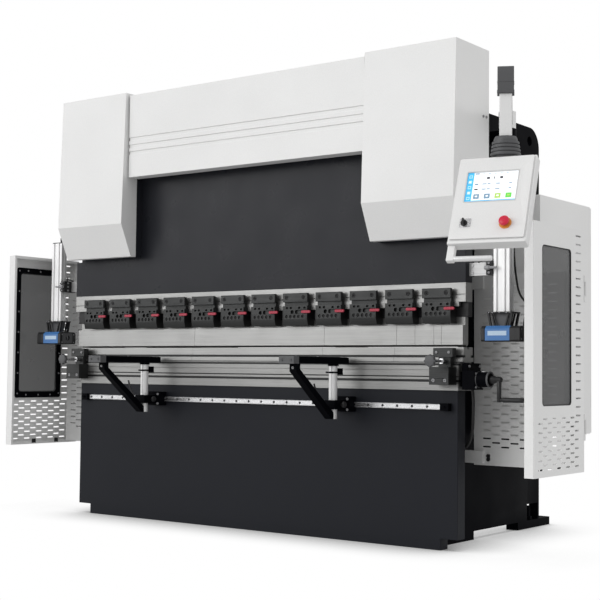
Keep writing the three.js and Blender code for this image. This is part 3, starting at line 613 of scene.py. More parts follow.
def frame_details():
    """Frame trims, cover screws, a graphite painted-shadow strip at each cover's inner edge, cabinet locks,
    hinges and louvres.
    """
    for side, sign in SIDES:
        make = Kit("frame", mirror(sign), side)
        with make("frame_trim", BLACK, 0.8) as trim:
            trim.box((1050.2, 1053), (16, 34), (44, 112))
            trim.box((1050.2, 1058), (380, 700), (640, 646))
        with make("cover_screws", ZINC, 0.4) as screws:
            for z in (1660, 1970):
                for y in (66, 94):
                    screws.screw((1262, y, z), RIGHT, 6.5, 4)
        # A graphite strip in front of the ram beside the cover's inner edge: painted shadow of the cylinder
        # cover on the ram, not a real part.
        with make("cover_flange", RAM_GRAPHITE, 0.4) as shadow_strip:
            shadow_strip.box((772.4, 775.4), (-86.6, -45.5), (1404, 1823))
    make = Kit("cabinet_door")
    (x0, x1), (y0, y1), (z0, z1) = box_of("cabinet_door")
    with make("cabinet_locks", PLASTIC, 1.2) as lock:
        for z in (z0 + 220, z1 - 220):
            lock.prism("y", (y1, y1 + 5), rounded((x0 + 28, x0 + 56), (z - 40, z + 40), 13))
            lock.bar("y", (x0 + 42, z), 11, (y1 + 5, y1 + 10))
            lock.box((x0 + 39, x0 + 45), (y1 + 10, y1 + 22), (z - 22, z + 22))
    with make("cabinet_hinges", CABINET_WHITE, 0.8) as hinges:
        for z in (z0 + 160, z1 - 160):
            hinges.bar("z", (x1 - 4, y0 + 9), 6, (z - 32, z + 32))
    (_, wall), _, (bottom, _) = box_of("electrical_cabinet")
    louvre = [(wall - 1, 540), (wall + 7, 546), (wall + 7, 754), (wall - 1, 760)]
    with Kit("frame")("cabinet_louvres", CABINET_WHITE, 0.8) as louvres:
        for i in range(9):
            z = bottom + 90 + 20 * i
            louvres.prism("z", (z, z + 5), louvre)


hydraulics()
frame_details()

# ---------- Ram tooling and table ----------

CLAMP_COUNT = 12
CLAMP_PITCH = 200
CLAMP_HALF = 75


def segments(shape, section, joints):
    """A long bar in lengths that meet at narrow joints."""
    for a, b in zip(joints, joints[1:]):
        shape.prism("x", (a + 0.35, b - 0.35), section)


def strip_and_punch():
    """Clamp strip with its groove, the rail and spacers under it, and the punch in lengths."""
    make = Kit("ram", node="clamp_strip")
    (x0, x1), (y0, y1), (z0, z1) = box_of("clamp_strip")
    ledge, rail_front, punch_top, groove = 1116, -17.5, 1049.3, 1149
    strip = [(y0, ledge), (y1, ledge), (y1, z1), (y0, z1)]
    strip += [(y0, groove + 2), (y0 + 5, groove + 2), (y0 + 5, groove - 2), (y0, groove - 2)]
    with make("clamp_strip_bar", STEEL, 0.8, True) as bar:
        bar.prism("x", (x0, x1), strip)
    with make("punch_seat_rail", TRIM_BLACK, 0.8, True) as rail:
        rail.box((x0, x1), (rail_front, y1), (punch_top, ledge - 0.2))
    half_gap, spacer_bottom = CLAMP_PITCH / 2 - CLAMP_HALF, 1096
    with make("clamp_spacers", STEEL, 0.6) as spacers:
        for i in range(CLAMP_COUNT + 1):
            middle = (i - CLAMP_COUNT / 2) * CLAMP_PITCH
            left = middle - half_gap if i else middle
            right = middle + half_gap if i < CLAMP_COUNT else middle
            spacers.box((left + 0.4, right - 0.4), (y0 + 1, y0 + 20), (spacer_bottom, ledge - 0.2))
    (x0, x1), (y0, y1), (z0, z1) = box_of("punch")
    tip = [(0.6, z0), (8, z0 + 8), (y1, z0 + 8), (y1, z1), (-15, z1), (-15, z0 + 98), (y0, z0 + 98)]
    tip += [(y0, z0 + 8), (-8, z0 + 8), (-0.6, z0)]
    with Kit("ram", node="punch")("punch_segments", STEEL, 0.7, True) as punch:
        segments(punch, tip, [x0, -383, 452, 867, 967, 1067, 1107, x1])


def die_and_table():
    """Die in lengths with black painted shadow in its side grooves, and the grooved table under it."""
    make = Kit("frame", node="die")
    (x0, x1), (y0, y1), (z0, z1) = box_of("die")
    half, vee, groove_bottom, groove_top = 42, 12, 865, 876
    right = [(y1 - 20, z0), (y1 - 20, z0 + 3), (y1, z0 + 3), (y1, groove_bottom), (half - 18, groove_bottom)]
    right += [(half - 18, groove_top), (half, groove_top), (half, z1), (vee, z1)]
    section = right + [(1.5, z1 - vee + 1.5), (-1.5, z1 - vee + 1.5)] + [(-u, v) for u, v in reversed(right)]
    with make("die_segments", STEEL, 0.7, True) as die:
        segments(die, section, [x0, -390, 445, 860, x1])
    # Black fill in the die's side grooves: painted shadow in the grooves.
    with make("die_wedges", TRIM_BLACK, 0.4) as groove_shadows:
        for edge in (1, -1):
            span = sorted((edge * (half - 18.2), edge * (half - 3)))
            groove_shadows.box((x0 + 1, x1 - 1), span, (groove_bottom + 0.5, groove_top - 0.5))

    make = Kit("frame", node="crowning_table")
    (x0, x1), (y0, y1), (z0, z1) = box_of("crowning_table")
    section = [(y0, z0)]
    for low, high, depth in ((754, 765, 26), (776, 781, 8), (806, 809, 3)):
        section += [(y0, low), (y0 + depth, low), (y0 + depth, high), (y0, high)]
    section += [(y0, 829), (y0 + 24, 829), (y0 + 24, 838), (y0 + 8, 838), (y0 + 8, z1), (y1, z1), (y1, z0)]
    with make("crowned_table", TABLE_STEEL, 0.7, True) as table:
        table.prism("x", (x0, x1), section)
    with make("table_slot_shadows", TRIM_BLACK, 0.3) as slots:
        for near, far, low, high in ((4, 25, 829.5, 837.5), (6, 25, 754.5, 764.5), (5, 7.5, 776.5, 780.5)):
            slots.box((x0 + 1, x1 - 1), (y0 + near, y0 + far), (low, high))


def clamp_meshes():
    """One quick clamp about its own middle: fixed block, jaw, screws and red lever."""
    _, (y0, _), (z0, z1) = box_of("clamp_01")
    front, back, half, neck_half = y0 + 6, -42.3, CLAMP_HALF, 58
    jaw_top, jaw_back, block_bottom, chamfer_top = 1115.7, -18.5, 1134, 1048
    plate_back = front + 17
    block_screws, screw_z = (-51, 51), 1157
    block = Shape()
    block.prism("y", (front, front + 8), rectangle((-half, half), (block_bottom, z1)),
                [circle((x, screw_z), 9.5, 20) for x in block_screws])
    block.box((-half, half), (front + 8, plate_back), (block_bottom, z1))
    block.box((-neck_half, neck_half), (plate_back, back), (block_bottom + 1, z1 - 1))
    block.box((-half + 3, half - 3), (front + 13, back), (jaw_top - 6, block_bottom + 2))
    jaw = Shape().prism("x", (-half, half), [
        (front + 9, z0), (jaw_back, z0), (jaw_back, jaw_top), (front, jaw_top), (front, chamfer_top)])
    bottom_row = [(-50 + 24.5 * i, 1063) for i in range(5)]
    holes = Shape()
    for x in (-48, -24, 27, 60):
        holes.prism("y", (front - 2, front + 9), slot_outline((x, 1105), 15, 10))
    for spot in bottom_row:
        holes.bar("y", spot, 8.4, (front - 2, front + 8), 18)
    holes.bar("y", (-16, 1085), 9.5, (front - 2, front + 12), 20)
    holes.prism("y", (front - 2, front + 10), rounded((2, 72), (1076, 1095), 6))
    jaw.cut(holes)
    screws = Shape()
    for x in block_screws:
        screws.screw((x, front + 8, screw_z), FRONT, 7.8, 7)
    for x, z in bottom_row:
        screws.screw((x, front + 8, z), FRONT, 6.6, 4.5)
    lever = Shape()
    lever.prism("y", (front - 7, front + 1), rounded((half - 32, half + 22), (1079, 1092), 6))
    lever.box((half - 34, half - 20), (front - 1, front + 9), (1080, 1091))
    return block, jaw, screws, lever


def clamps():
    shapes = clamp_meshes()
    looks = (
        ("block", OXIDE, 1.2),
        ("jaw", OXIDE, 1.0),
        ("screws", DARK_SCREW, 0.3),
        ("lever", LEVER_RED, 1.4),
    )
    for i in range(CLAMP_COUNT):
        node = f"clamp_{i + 1:02d}"
        middle = box_of(node)[0][0] + CLAMP_HALF
        for shape, (part, material, bevel) in zip(shapes, looks):
            mesh = shape.mesh(f"{node}_{part}")
            mesh.transform(at_x(middle * MM))
            stands_for = [node] if part in ("block", "jaw") else []
            as_piece(mesh, f"{node}_{part}", "ram", material, bevel, stands_for)


strip_and_punch()
die_and_table()
clamps()

# ---------- Table ends, crowning drive and crank ----------


def table_end(side, centre):
    """Stepped bracket at one end of the table, with its bolts and clamping knob."""
    back = box_of(f"{side}_end_bracket")[1][1]
    make = Kit("frame", at_x(centre), side, f"{side}_end_bracket")
    bolt_spots, knob_z, knob_y = (-30, 30), 848, -183
    with make("bracket_block", OXIDE, 1.5, True) as block:
        block.prism("y", (-130, -122), rectangle((-50, 50), (742, 822)),
                    [circle((x, 762), 9.5, 18) for x in bolt_spots])
        block.box((-50, 50), (-122, back), (742, 822))
        block.box((-28, 34), (-84, back), (820, 868))
        block.box((-50, 50), (-95, back), (866, 907.5))
    with make("bracket_bolts", ZINC, 0.4) as bolts:
        for x in bolt_spots:
            bolts.screw((x, -122, 762), FRONT, 8, 7)
        for x in (-32, 32):
            bolts.screw((x, -95, 888), FRONT, 6, 4)
    with make("knob_spindle", BRIGHT, 0.6) as spindle:
        spindle.bar("y", (0, knob_z), 7, (-190, -84), 20)
        spindle.hexagon((0, -100, knob_z), FRONT, 14, 9)
    with make("clamp_knob", CASTING, 0.8) as knob:
        profile = [(0, 0), (11, 0), (13, 6), (24, 10), (26, 16), (26, 26), (23, 30), (10, 32), (0, 32)]
        knob.lathe((0, knob_y, knob_z), FRONT, profile, 32)
        for spot in circle((0, knob_z), 25, 8):
            knob.bar("y", spot, 4, (knob_y - 28, knob_y - 12), 12)


def crowning():
    """Counter and bolts on the crowning drive, the hand crank and the drive's cable."""
    make = Kit("frame")
    y, z, throw = -70, 768, 88
    with make("counter_bezel", CASTING, 0.8) as counter:
        counter.ring("x", (y, z), 35.5, 29, (1370, 1377.5))
        counter.ring("x", (y, z), 35.5, 30, (1315, 1321))
    with make("counter_window", BRIGHT, 0.5) as window:
        window.prism("z", (z + 33.2, z + 35.5), rounded((1335, 1358), (y - 14, y + 14), 4))
    with make("drive_bolts", ZINC, 0.3) as bolts:
        for dy in (-28, 32):
            for bolt_z in (734, 794):
                bolts.screw((1317, y + dy, bolt_z), RIGHT, 4.5, 4)
        for bolt_y in (-48, 48):
            for bolt_z in (734, 826):
                bolts.screw((1256, bolt_y, bolt_z), RIGHT, 6, 5)
    with make("drive_cable", RUBBER) as cable:
        cable.tube([(1270, -40, 721), (1272, -36, 670), (1262, -20, 600), (1240, 10, 530),
                    (1200, 40, 470), (1130, 60, 430)], 7, 12, 8)
    make = Kit("crank", node="crank")
    arm_x, grip_z = 1418, z - throw
    outline = [(y - 11, z + 6), (y - 7, z + 12), (y + 7, z + 12), (y + 11, z + 6)]
    outline += [(y + 9, grip_z - 4), (y + 5, grip_z - 10), (y - 5, grip_z - 10), (y - 9, grip_z - 4)]
    with make("crank_arm", PLASTIC, 2.0, True, segments=3) as arm:
        hub = [(0, 0), (17, 0), (17, 20), (13, 26), (13, 48), (11, 54), (0, 54)]
        arm.lathe((1376.6, y, z), RIGHT, hub, 28)
        arm.prism("x", (arm_x - 7, arm_x + 7), outline)
    with make("crank_handle", PLASTIC) as handle:
        grip = [(0, 0), (8, 0), (8, 8), (11, 12), (10, 40), (11, 85), (10.5, 108), (6, 117), (0, 119)]
        handle.lathe((arm_x + 8, y, grip_z), RIGHT, grip, 28)


table_end("right", 1148)
table_end("left", -1200)
crowning()

# ---------- Front rail and support arms ----------


def front_rail():
    """Slotted bar with a screw every 80 mm, and a stop at each end."""
    _, (y0, y1), (z0, z1) = box_of("front_rail")
    end, face, middle, pitch, first = 1125, y1 - 15, (z0 + z1) / 2, 80, 14
    make = Kit("frame", node="front_rail")
    rail = Shape().box((-end, end), (face, y1), (middle - 12, middle + 12))
    holes = Shape()
    with make("front_rail_screws", DARK_SCREW, 0.2) as screws:
        for i in range(-14, 14):
            x = i * pitch + first
            holes.bar("y", (x, middle), 6.5, (face - 2, face + 7), 16)
            screws.screw((x, face + 7, middle), FRONT, 5, 5)
    rail.cut(holes)
    for z in (middle + 9, middle - 11):
        rail.prism("x", (-end, end), [(face - 0.01, z), (face - 1.2, z + 1), (face - 0.01, z + 2)])
    rail.piece("front_rail_bar", "frame", BRIGHT, 0.5, ["front_rail"], slot="chrome")
    for side, sign in SIDES:
        with Kit("frame", mirror(sign), side, "front_rail")("rail_stop", BLACK, 1.5, True) as stop:
            stop.box((end + 3, 1172), (y0, y1), (z0, z1))
            stop.screw((1150, y0, middle), FRONT, 6, 4)


def support_arm(side):
    """Aluminium post, black bar and brace, and the grey end block."""
    (x0, x1), _, (foot, _) = box_of(f"{side}_support_arm")
    make = Kit(f"{side}_arm", at_x((x0 + x1) / 2), side, f"{side}_support_arm")
    post_y, radius, bottom, top, tip_y = -177, 20, 832, 862, -500
    slot_angle, slot_half, slot_depth = math.radians(-75), math.radians(9), 5
    section = [(u, post_y + v) for u, v in circle((0, 0), radius, 48, slot_angle + slot_half)[:46]]
    for turn in (-slot_half, slot_half):
        inner = radius - slot_depth
        section.append((inner * math.cos(slot_angle + turn), post_y + inner * math.sin(slot_angle + turn)))
    with make("arm_post", ALUMINIUM, 0.8, True) as post:
        post.prism("z", (foot, bottom), section)
    full_drop = 100
    collar = box_of(f"{side}_support_carriage")[2][1] + full_drop + 2
    ring = (collar + 6, collar + 14)
    with make("arm_bar", BLACK, 1.4, True) as bar:
        bar.box((-20, 20), (tip_y, -75), (bottom, top))
        bar.box((-15, 15), (tip_y + 2, -80), (top - 1, top + 1.5))
        bar.bar("z", (0, post_y), 26, (bottom - 10, bottom - 0.2), 32)
        bar.bar("z", (0, post_y), 23.5, ring, 32)
        bar.prism("z", ring, [(-40, post_y - 6), (-18, post_y - 8), (-18, post_y + 8), (-40, post_y + 4)])
        bar.box((10, 24), (post_y + 18, post_y + 46), (collar, collar + 30))
    with make("arm_tip", CASTING, 3.0, True, segments=3) as tip:
        tip.box((-42, 42), (tip_y - 40, tip_y - 0.4), (bottom - 2, top + 2))
        for x in (-25, 25):
            tip.screw((x, tip_y - 40, 847), FRONT, 6, 3.1)
    post_front = post_y - radius
    line = [(-490, bottom - 0.3), (-490, 795), (post_front - 15, foot), (post_front - 0.3, foot)]
    line += [(post_front - 0.3, foot + 30), (-460, 805), (-460, bottom - 0.3)]
    with make("arm_brace", BLACK, 1.6, True) as brace:
        brace.prism("x", (-20, 20), line)
    with make("arm_bolts", ZINC, 0.3) as bolts:
        bolts.screw((0, post_front - 13.5, foot + 20), (0, -0.77, -0.6), 6, 4)
        bolts.screw((0, -490, 812), FRONT, 6, 4)
        for y in (-470, -300, -110):
            bolts.screw((0, y, top + 1.5), UP, 5.5, 2)


def carriage(side):
    """Knob, stud, clamping lever and bolts on a support's carriage."""
    node = f"{side}_support_carriage"
    (x0, x1), (_, back), _ = box_of(node)
    make = Kit(f"{side}_carriage", at_x((x0 + x1) / 2), side)
    with make("carriage_knob", PLASTIC, 0.6) as knob:
        grip = [(0, 0), (5, 0), (5, 8), (13, 11), (14, 15), (14, 22), (12, 25), (0, 26)]
        knob.lathe((34, -160, 642), RIGHT, grip, 28)
    with make("carriage_stud", BRIGHT, 0.5) as stud:
        stud.lathe((-34, -190, 655), LEFT, [(0, 0), (8, 0), (8, 18), (6, 21), (0, 22)], 24)
    with make("carriage_lever", PLASTIC) as lever:
        bend = [(-40, -190, 652), (-56, -192, 660), (-74, -196, 684), (-86, -200, 716), (-92, -202, 738)]
        lever.tube(bend, 4.5, 12, 6)
    with make("carriage_bolts", ZINC, 0.3) as bolts:
        for x in (-38, 38):
            for z in (668, 618):
                bolts.screw((x, back - 52.99, z), FRONT, 6, 4)


front_rail()
for side, _ in SIDES:
    support_arm(side)
    carriage(side)

# ---------- Laser guards ----------


def laser_mount(side, sign):
    """Plates and screws on the ram's arm, and the clamp that holds the column."""
    make = Kit("ram", mirror(sign), side)
    column = box_of("right_laser_column")[0][0]
    with make("laser_arm_plates", LIGHT_METAL, 1.2) as arm:
        arm.box((1235.5, 1348), (-12.6, 18.6), (1232.4, 1291.6))
        for z in (1246, 1278):
            arm.screw((1252, -12.6, z), FRONT, 7, 4)
    with make("column_clamp", TRIM_BLACK, 1.6, slot="black_paint") as clamp:
        clamp.box((1348.6, column - 0.2), (-64.6, 18.6), (1230, 1292))
        for z in (1238, 1276):
            clamp.box((1352, column - 0.2), (-70, -20), (z, z + 8))
    with make("clamp_screws", ZINC, 0.3) as screws:
        for z, face in ((1240, -70), (1261, -64.6), (1282, -70)):
            screws.screw((1348.6, -40, z), LEFT, 5.5, 3)
            screws.screw((1366, face, z), FRONT, 5, 3)
    with make("column_knob", ZINC, 0.6) as knob:
        grip = [(0, 0), (9, 0), (10, 3), (10, 22), (6, 26), (5, 58), (0, 58)]
        knob.lathe((1350, -78, 1261), RIGHT, grip, 24)
    with make("clamp_lever", PLASTIC) as lever:
        lever.tube([(1366, -30, 1290), (1362, -34, 1306), (1345, -40, 1304), (1300, -46, 1290)], 4.5, 12, 6)


def laser_head(side, sign):
    """Column cap, hanger, and the head with its label, lens and cable."""
    make = Kit(f"{side}_laser", mirror(sign), side, f"{side}_laser_head")
    (c0, c1), (front, back), (bottom, top) = box_of("right_laser_column")
    (h0, h1), (hf, hb), (low, _) = box_of("right_laser_head")
    x, end, high, lens_y = (c0 + c1) / 2, h0 + 2, 1003, -42
    with make("column_cap", CASTING, 1.5) as cap:
        cap.box((c0 + 1, c1 - 1), (front + 1, back - 1), (top + 0.2, top + 5))

    outline = [(hf, low + 6), (hf + 6, low), (hb - 6, low), (hb, low + 6), (hb, high - 12), (hb - 12, high)]
    outline += [(hf + 12, high), (hf, high - 12)]
    wide = [(y + (1.5 if y > lens_y else -1.5), z) for y, z in outline]
    with make("head_housing", PLASTIC, 1.6, True, segments=3) as housing:
        housing.prism("x", (end + 18, h1 - 24), outline)
        housing.prism("x", (end, end + 18), wide)
        housing.prism("x", (h1 - 24, h1 - 1), wide)
    skin = [(hf - 0.6, low + 4), (hf - 0.6, high - 12.4), (hf + 11.8, high + 0.6), (-8, high + 0.6)]
    skin += [(-8, high - 1), (hf + 13, high - 1), (hf + 1, high - 13), (hf + 1, low + 4)]
    with make("head_label", BLUE_LABEL) as label:
        label.prism("x", (end + 21, h1 - 52), skin)
    with make("label_panel", PALE_LABEL, 0.2) as blank:
        blank.box((end + 34, h1 - 66), (hf - 1.1, hf - 0.3), (low + 26, low + 46))

    hang_top = bottom - 0.4
    with make("hanger_plate", CASTING, 1.2, True) as hanger:
        taper = [(x - 28, high), (x + 28, high), (x + 44, hang_top), (x - 44, hang_top)]
        hanger.prism("y", (front + 4, back - 4), taper)
    with make("hanger_struts", TRIM_BLACK, 1.0, True, slot="black_paint") as struts:
        struts.box((x - 62, x + 62), (front - 20, back + 20), (hang_top - 7, hang_top))
        for edge in (-1, 1):
            for y in (front - 15, back + 5):
                for foot, head, half in ((46, 62, 5), (26, 46, 3.5)):
                    corners = ((foot - half, high), (foot + half, high))
                    corners += ((head + half - 4, hang_top - 4), (head - half - 4, hang_top - 4))
                    struts.prism("y", (y, y + 10), [(x + edge * out, z) for out, z in corners])
    with make("head_screws", ZINC, 0.2) as screws:
        for dx in (-52, -34, 0, 34, 52):
            screws.screw((x + dx, front - 20, hang_top - 3.5), FRONT, 3, 2)
        for dx in (-44, 44):
            screws.screw((x + dx, front - 8, high), UP, 4.5, 4)
        for y in (hf + 14, hb - 14):
            for z in (low + 10, high - 14):
                screws.screw((end, y, z), LEFT, 3.4, 1.6)
                screws.screw((h1 - 1, y, z), RIGHT, 3.4, 1.6)

    lens_z = (low + high) / 2
    with make("lens_bezel", CASTING, 0.5) as bezel:
        square = rounded((lens_y - 40, lens_y + 34), (low + 5, high - 6), 8)
        bezel.prism("x", (end - 2.4, end), square, [circle((lens_y, lens_z), 21, 28)])
        bezel.ring("x", (lens_y, lens_z), 20.5, 15, (end - 4, end))
    with make("lens", LENS_GLASS) as glass:
        dome = [(0, 0), (14.8, 0), (14.8, 0.6), (10, 1.6), (5, 2.2), (0, 2.4)]
        glass.lathe((end + 0.2, lens_y, lens_z), LEFT, dome, 28)
    with make("laser_cable", RUBBER) as cable:
        cable.tube([(h1 - 18, -30, high - 2), (h1 - 14, -24, 1040), (h1 - 12, -4, 1090), (x + 58, 8, 1140),
                    (x + 44, 4, 1190), (x + 34, -4, 1300), (x + 30, -8, 1420), (x + 12, -14, 1500),
                    (x, -30, 1532), (x - 14, -38, 1552)], 4.5, 10, 6)


for side, sign in SIDES:
    laser_mount(side, sign)
    laser_head(side, sign)

# ---------- Doors and guard panels ----------

SLOT_LENGTH = 43
SLOT_HEIGHT = 7.5
HINGE_HEIGHTS = (560, 1180)


def side_door(side, sign):
    """Folded door: perforated skin, returns, window gasket, smoked sheet, hinges and latches."""
    make = Kit(f"{side}_door", mirror(sign), side, f"{side}_side_door")
    (x0, x1), (y0, y1), (z0, z1) = box_of("right_side_door")
    slots = [rounded((-130, 155), (660, 1345), 18)]
    for i in range(22):
        slots.append(slot_outline((230, 1411 - 38 * i), 54, SLOT_HEIGHT))
    for row in range(12):
        for column in range(5):
            y = (-146 if row % 2 else -101) + 90 * column
            if y + SLOT_LENGTH / 2 < 265:
                slots.append(slot_outline((y, 605 - 19.4 * row), SLOT_LENGTH, SLOT_HEIGHT))
    with make("door_skin", WHITE, 0, True) as skin:
        skin.prism("x", (x1 - 2.5, x1), rounded((y0, y1), (z0, z1), 3), slots)
    wall = 2.5
    with make("door_folds", WHITE, 0.9, True) as folds:
        for far, edge, inset in ((x1 - 1, 0, wall), (x0 + wall, 1, 16)):
            rims = [rectangle((y0 + d, y1 - d), (z0 + d, z1 - d)) for d in (edge, inset)]
            folds.prism("x", (x0, far), rims[0], rims[1:])
    pane_back = x1 - 12
    with make("window_gasket", BLACK, 0.8) as gasket:
        gasket.prism("x", (pane_back, pane_back + 5), rounded((-160, 186), (626, 1377), 14),
                     [rounded((-131, 156), (659, 1346), 18)])
    with make("gasket_screws", ZINC, 0.3) as screws:
        spots = [(y, z) for z in range(650, 1360, 118) for y in (-145, 171)]
        spots += [(y, z) for y in (-80, 13, 106) for z in (642, 1361)]
        for y, z in spots:
            screws.screw((pane_back, y, z), LEFT, 4.5, 2.5)
    with make("window_pane", WINDOW, 0.3) as pane:
        pane.prism("x", (x1 - 6.8, x1 - 2.8), rounded((-152, 177), (634, 1369), 10))
    with make("window_seal", RUBBER, 0.4) as seal:
        seal.prism("x", (x1 - 3, x1 + 0.8), rounded((-130.5, 155.5), (659.5, 1345.5), 18.5),
                   [rounded((-126, 151), (664, 1341), 15)])
    with make("door_hinges", WHITE, 0.8) as hinges:
        for z in HINGE_HEIGHTS:
            hinges.bar("z", (x1, 292), 5.5, (z - 60, z - 31))
            hinges.bar("z", (x1, 292), 5.5, (z + 31, z + 60))
    with make("door_latches", PLASTIC, 0.8) as latches:
        for y in (-42, 130):
            latches.box((x0 - 3, x0), (y - 14, y + 14), (z0 + 6, z0 + 30))
            latches.bar("x", (y, z0 + 18), 8, (x0 - 7, x0 - 2), 18)


def guard_panel(side, sign):
    """Perforated side panel with its folded edges, brackets, hinge knuckles and latch."""
    make = Kit("frame", mirror(sign), side, f"{side}_guard_panel")
    _, _, (z0, z1) = box_of("right_guard_panel")
    inner, outer, face, sheet = 1145, 1600, 200, 2.5
    slots = []
    for column in range(9):
        x = 1212 + 47 * column
        for row in range(24):
            z = z0 + 86 + 38 * row + (19 if column % 2 else 0)
            beside_top_bracket = x < 1240 and 1160 < z
            if x + SLOT_LENGTH / 2 < outer - 8 and z < z1 - 44 and not beside_top_bracket:
                slots.append(slot_outline((x, z), SLOT_LENGTH, SLOT_HEIGHT))
    with make("guard_sheet", PANEL_GREY, 0, True) as skin:
        skin.prism("y", (face, face + sheet), rectangle((inner, outer), (z0, z1)), slots)
    depth = (face + 1, face + 22)
    with make("guard_folds", PANEL_GREY, 1.0, True) as folds:
        folds.box((inner, outer), depth, (z0, z0 + sheet))
        folds.box((inner, outer), depth, (z1 - sheet, z1))
        folds.box((inner, inner + sheet), depth, (z0 + 1, z1 - 1))
        folds.box((outer - sheet, outer), (face + 1, 330), (z0, z1))
        for z in (409, 1215):
            folds.box((1050.4, 1198), (face - 14, face - 0.1), (z - 29, z + 29))
            folds.box((1060, 1198), (face - 15.5, face - 13), (z - 27, z - 22))
        for z in HINGE_HEIGHTS:
            folds.box((outer - 1, 1646), (295, 325), (z - 30, z + 30))
    with make("hinge_knuckles", PANEL_GREY, 0.8) as pins:
        for z in HINGE_HEIGHTS:
            pins.bar("z", (1646, 310), 8, (z - 34, z + 34), 20)
    with make("guard_latch", PLASTIC, 0.8) as latch:
        latch.prism("y", (face - 8, face), rounded((1216, 1230), (391, 423), 5))
        for z in (415, 399):
            latch.bar("y", (1223, z), 9, (face - 12, face - 7), 20)


for side, sign in SIDES:
    side_door(side, sign)
    guard_panel(side, sign)

# ---------- Control pendant ----------

FACE_CENTRE = (1678, -622, 1478)
FACE_YAW, FACE_TILT = math.radians(10.5), math.radians(24)
DOOR_FACE = 9
PIVOT = Vector((1292, 244, 0))
DROP = Vector((1673, -500, 0))


def panel_matrix():
    """The control box's face: +X to the right, +Y up the face and +Z out of it."""
    level = Vector((math.sin(FACE_YAW), -math.cos(FACE_YAW), 0))
    right = Vector((math.cos(FACE_YAW), math.sin(FACE_YAW), 0))
    out = level * math.cos(FACE_TILT) + Vector(UP) * math.sin(FACE_TILT)
    along = Vector(UP) * math.cos(FACE_TILT) - level * math.sin(FACE_TILT)
    m = Matrix((right, along, out)).transposed().to_4x4()
    m.translation = FACE_CENTRE
    return m


FACE = panel_matrix()


def pendant_arm():
    """Elbow, drop tube and cable of the swing arm."""
    arm = DROP - PIVOT
    u = arm.length
    m = Matrix.Translation(PIVOT) @ Matrix.Rotation(math.atan2(arm.y, arm.x), 4, "Z")
    make = Kit("pendant_arm", m, "pendant", "drop_tube")
    with make("elbow", CASTING, 3.0, True, segments=3) as elbow:
        outline = [(u - 33, 1920), (u + 33, 1920), (u + 33, 1998), (u + 24, 2028), (u - 33, 2028)]
        elbow.prism("y", (-33, 33), outline)
        elbow.box((u - 34.5, u + 34.5), (-34.5, 34.5), (1918, 1930))
        elbow.box((u - 34, u + 34), (-34, 34), (1962, 1966))
    with make("drop_tube", WHITE, 3.0, True, segments=3) as tube:
        tube.box((u - 25, u + 25), (-25, 25), (1745, 1918))
    with Kit("frame")("pendant_cable", RUBBER) as cable:
        cable.tube([(1255, 244, 1855), (1250, 244, 1800), (1225, 244, 1740), (1180, 244, 1690),
                    (1160, 250, 1600), (1150, 300, 1520), (1180, 380, 1480)], 8, 12, 8)


def control_box():
    """Case, door and screen bezel, and the ribbed swivel above them."""
    half_w, half_h = 159, 197.5
    make = Kit("control_panel", FACE, node="control_box")
    with make("control_case", WHITE, 2.0, True, segments=3) as case:
        case.prism("z", (-45, 0), rounded((-half_w, half_w), (-half_h, half_h), 4))
        case.prism("z", (-95, -44), rounded((-110, 110), (-90, 150), 6))
        case.box((-half_w + 2, half_w - 2), (-half_h, -half_h + 12), (-0.5, 7))
    with make("control_door", WHITE, 1.2, True) as door:
        openings = [rounded((-114, 96), (-11, 127), 2), circle((70, -115), 12, 24)]
        door.prism("z", (0.6, DOOR_FACE), rounded((-152, 150), (-178, 192), 5), openings)
    with make("screen_bezel", PANEL_GREY, 0.4, slot="black_plastic") as bezel:
        bezel.prism("z", (3, DOOR_FACE + 1.2), rounded((-117, 99), (-14, 130), 4),
                    [rounded((-113, 95), (-10, 126), 1)])
    profile = [(0, 1600), (46, 1600), (46, 1666), (60, 1668)]
    for i in range(4):
        z = 1668 + i * 15
        r = 60 - i * 2
        profile += [(r, z), (r + 1, z + 5), (r, z + 10), (r - 6, z + 11), (r - 6, z + 15)]
    profile += [(46, 1738), (42, 1744.6), (0, 1744.6)]
    coupling = Shape().lathe(DROP, UP, profile, 40)
    coupling.piece("pendant_coupling", "control_panel", CASTING, 0, ["control_box"])


def display():
    """A generic machine screen: menu column, status marks and a row of buttons, with no lettering."""
    order = list(SCREEN_COLOURS)

    def tile(u, v, layer, colour):
        span = (4.0 + 0.3 * layer, 4.3 + 0.3 * layer)
        screen.prism("z", span, rounded(u, v, 1), index=order.index(colour))

    make = Kit("control_panel", FACE @ Matrix.Translation((-9, 58, 0)))
    with make("display_graphics", SCREEN) as screen:
        tile((-104, 104), (-68, 68), 0, "white")
        tile((-104, -78), (-68, 68), 1, "blue")
        tile((-78, 104), (-68, -61), 1, "blue")
        for i in range(5):
            v = 50 - 25 * i
            tile((-98, -84), (v - 7, v + 7), 2, "pale_blue")
            tile((-95, -87), (v - 3, v + 3), 3, "white" if i % 2 else "blue")
        tile((-74, -56), (60, 65), 1, "slate")
        for left, right in ((-24, -12), (4, 8), (30, 42)):
            tile((left, right), (36, 46), 1, "dark")
        for v, icon in ((14, "slate"), (-10, "dark")):
            tile((-70, -56), (v - 3, v + 3), 1, icon)
            for left, right in ((-40, -22), (-18, -6), (16, 34), (70, 82)):
                tile((left, right), (v - 2, v + 2), 1, "slate")
        for i in range(6):
            tile((-44 + 24 * i, -32 + 24 * i), (60, 62), 1, "slate")
        for i, colour in enumerate(("slate", "slate", "lime", "green")):
            u = -70 + 44 * i
            tile((u, u + 24), (-54, -32), 1, colour)
            tile((u + 7, u + 17), (-46, -39), 2, "white" if i < 3 else "lime")


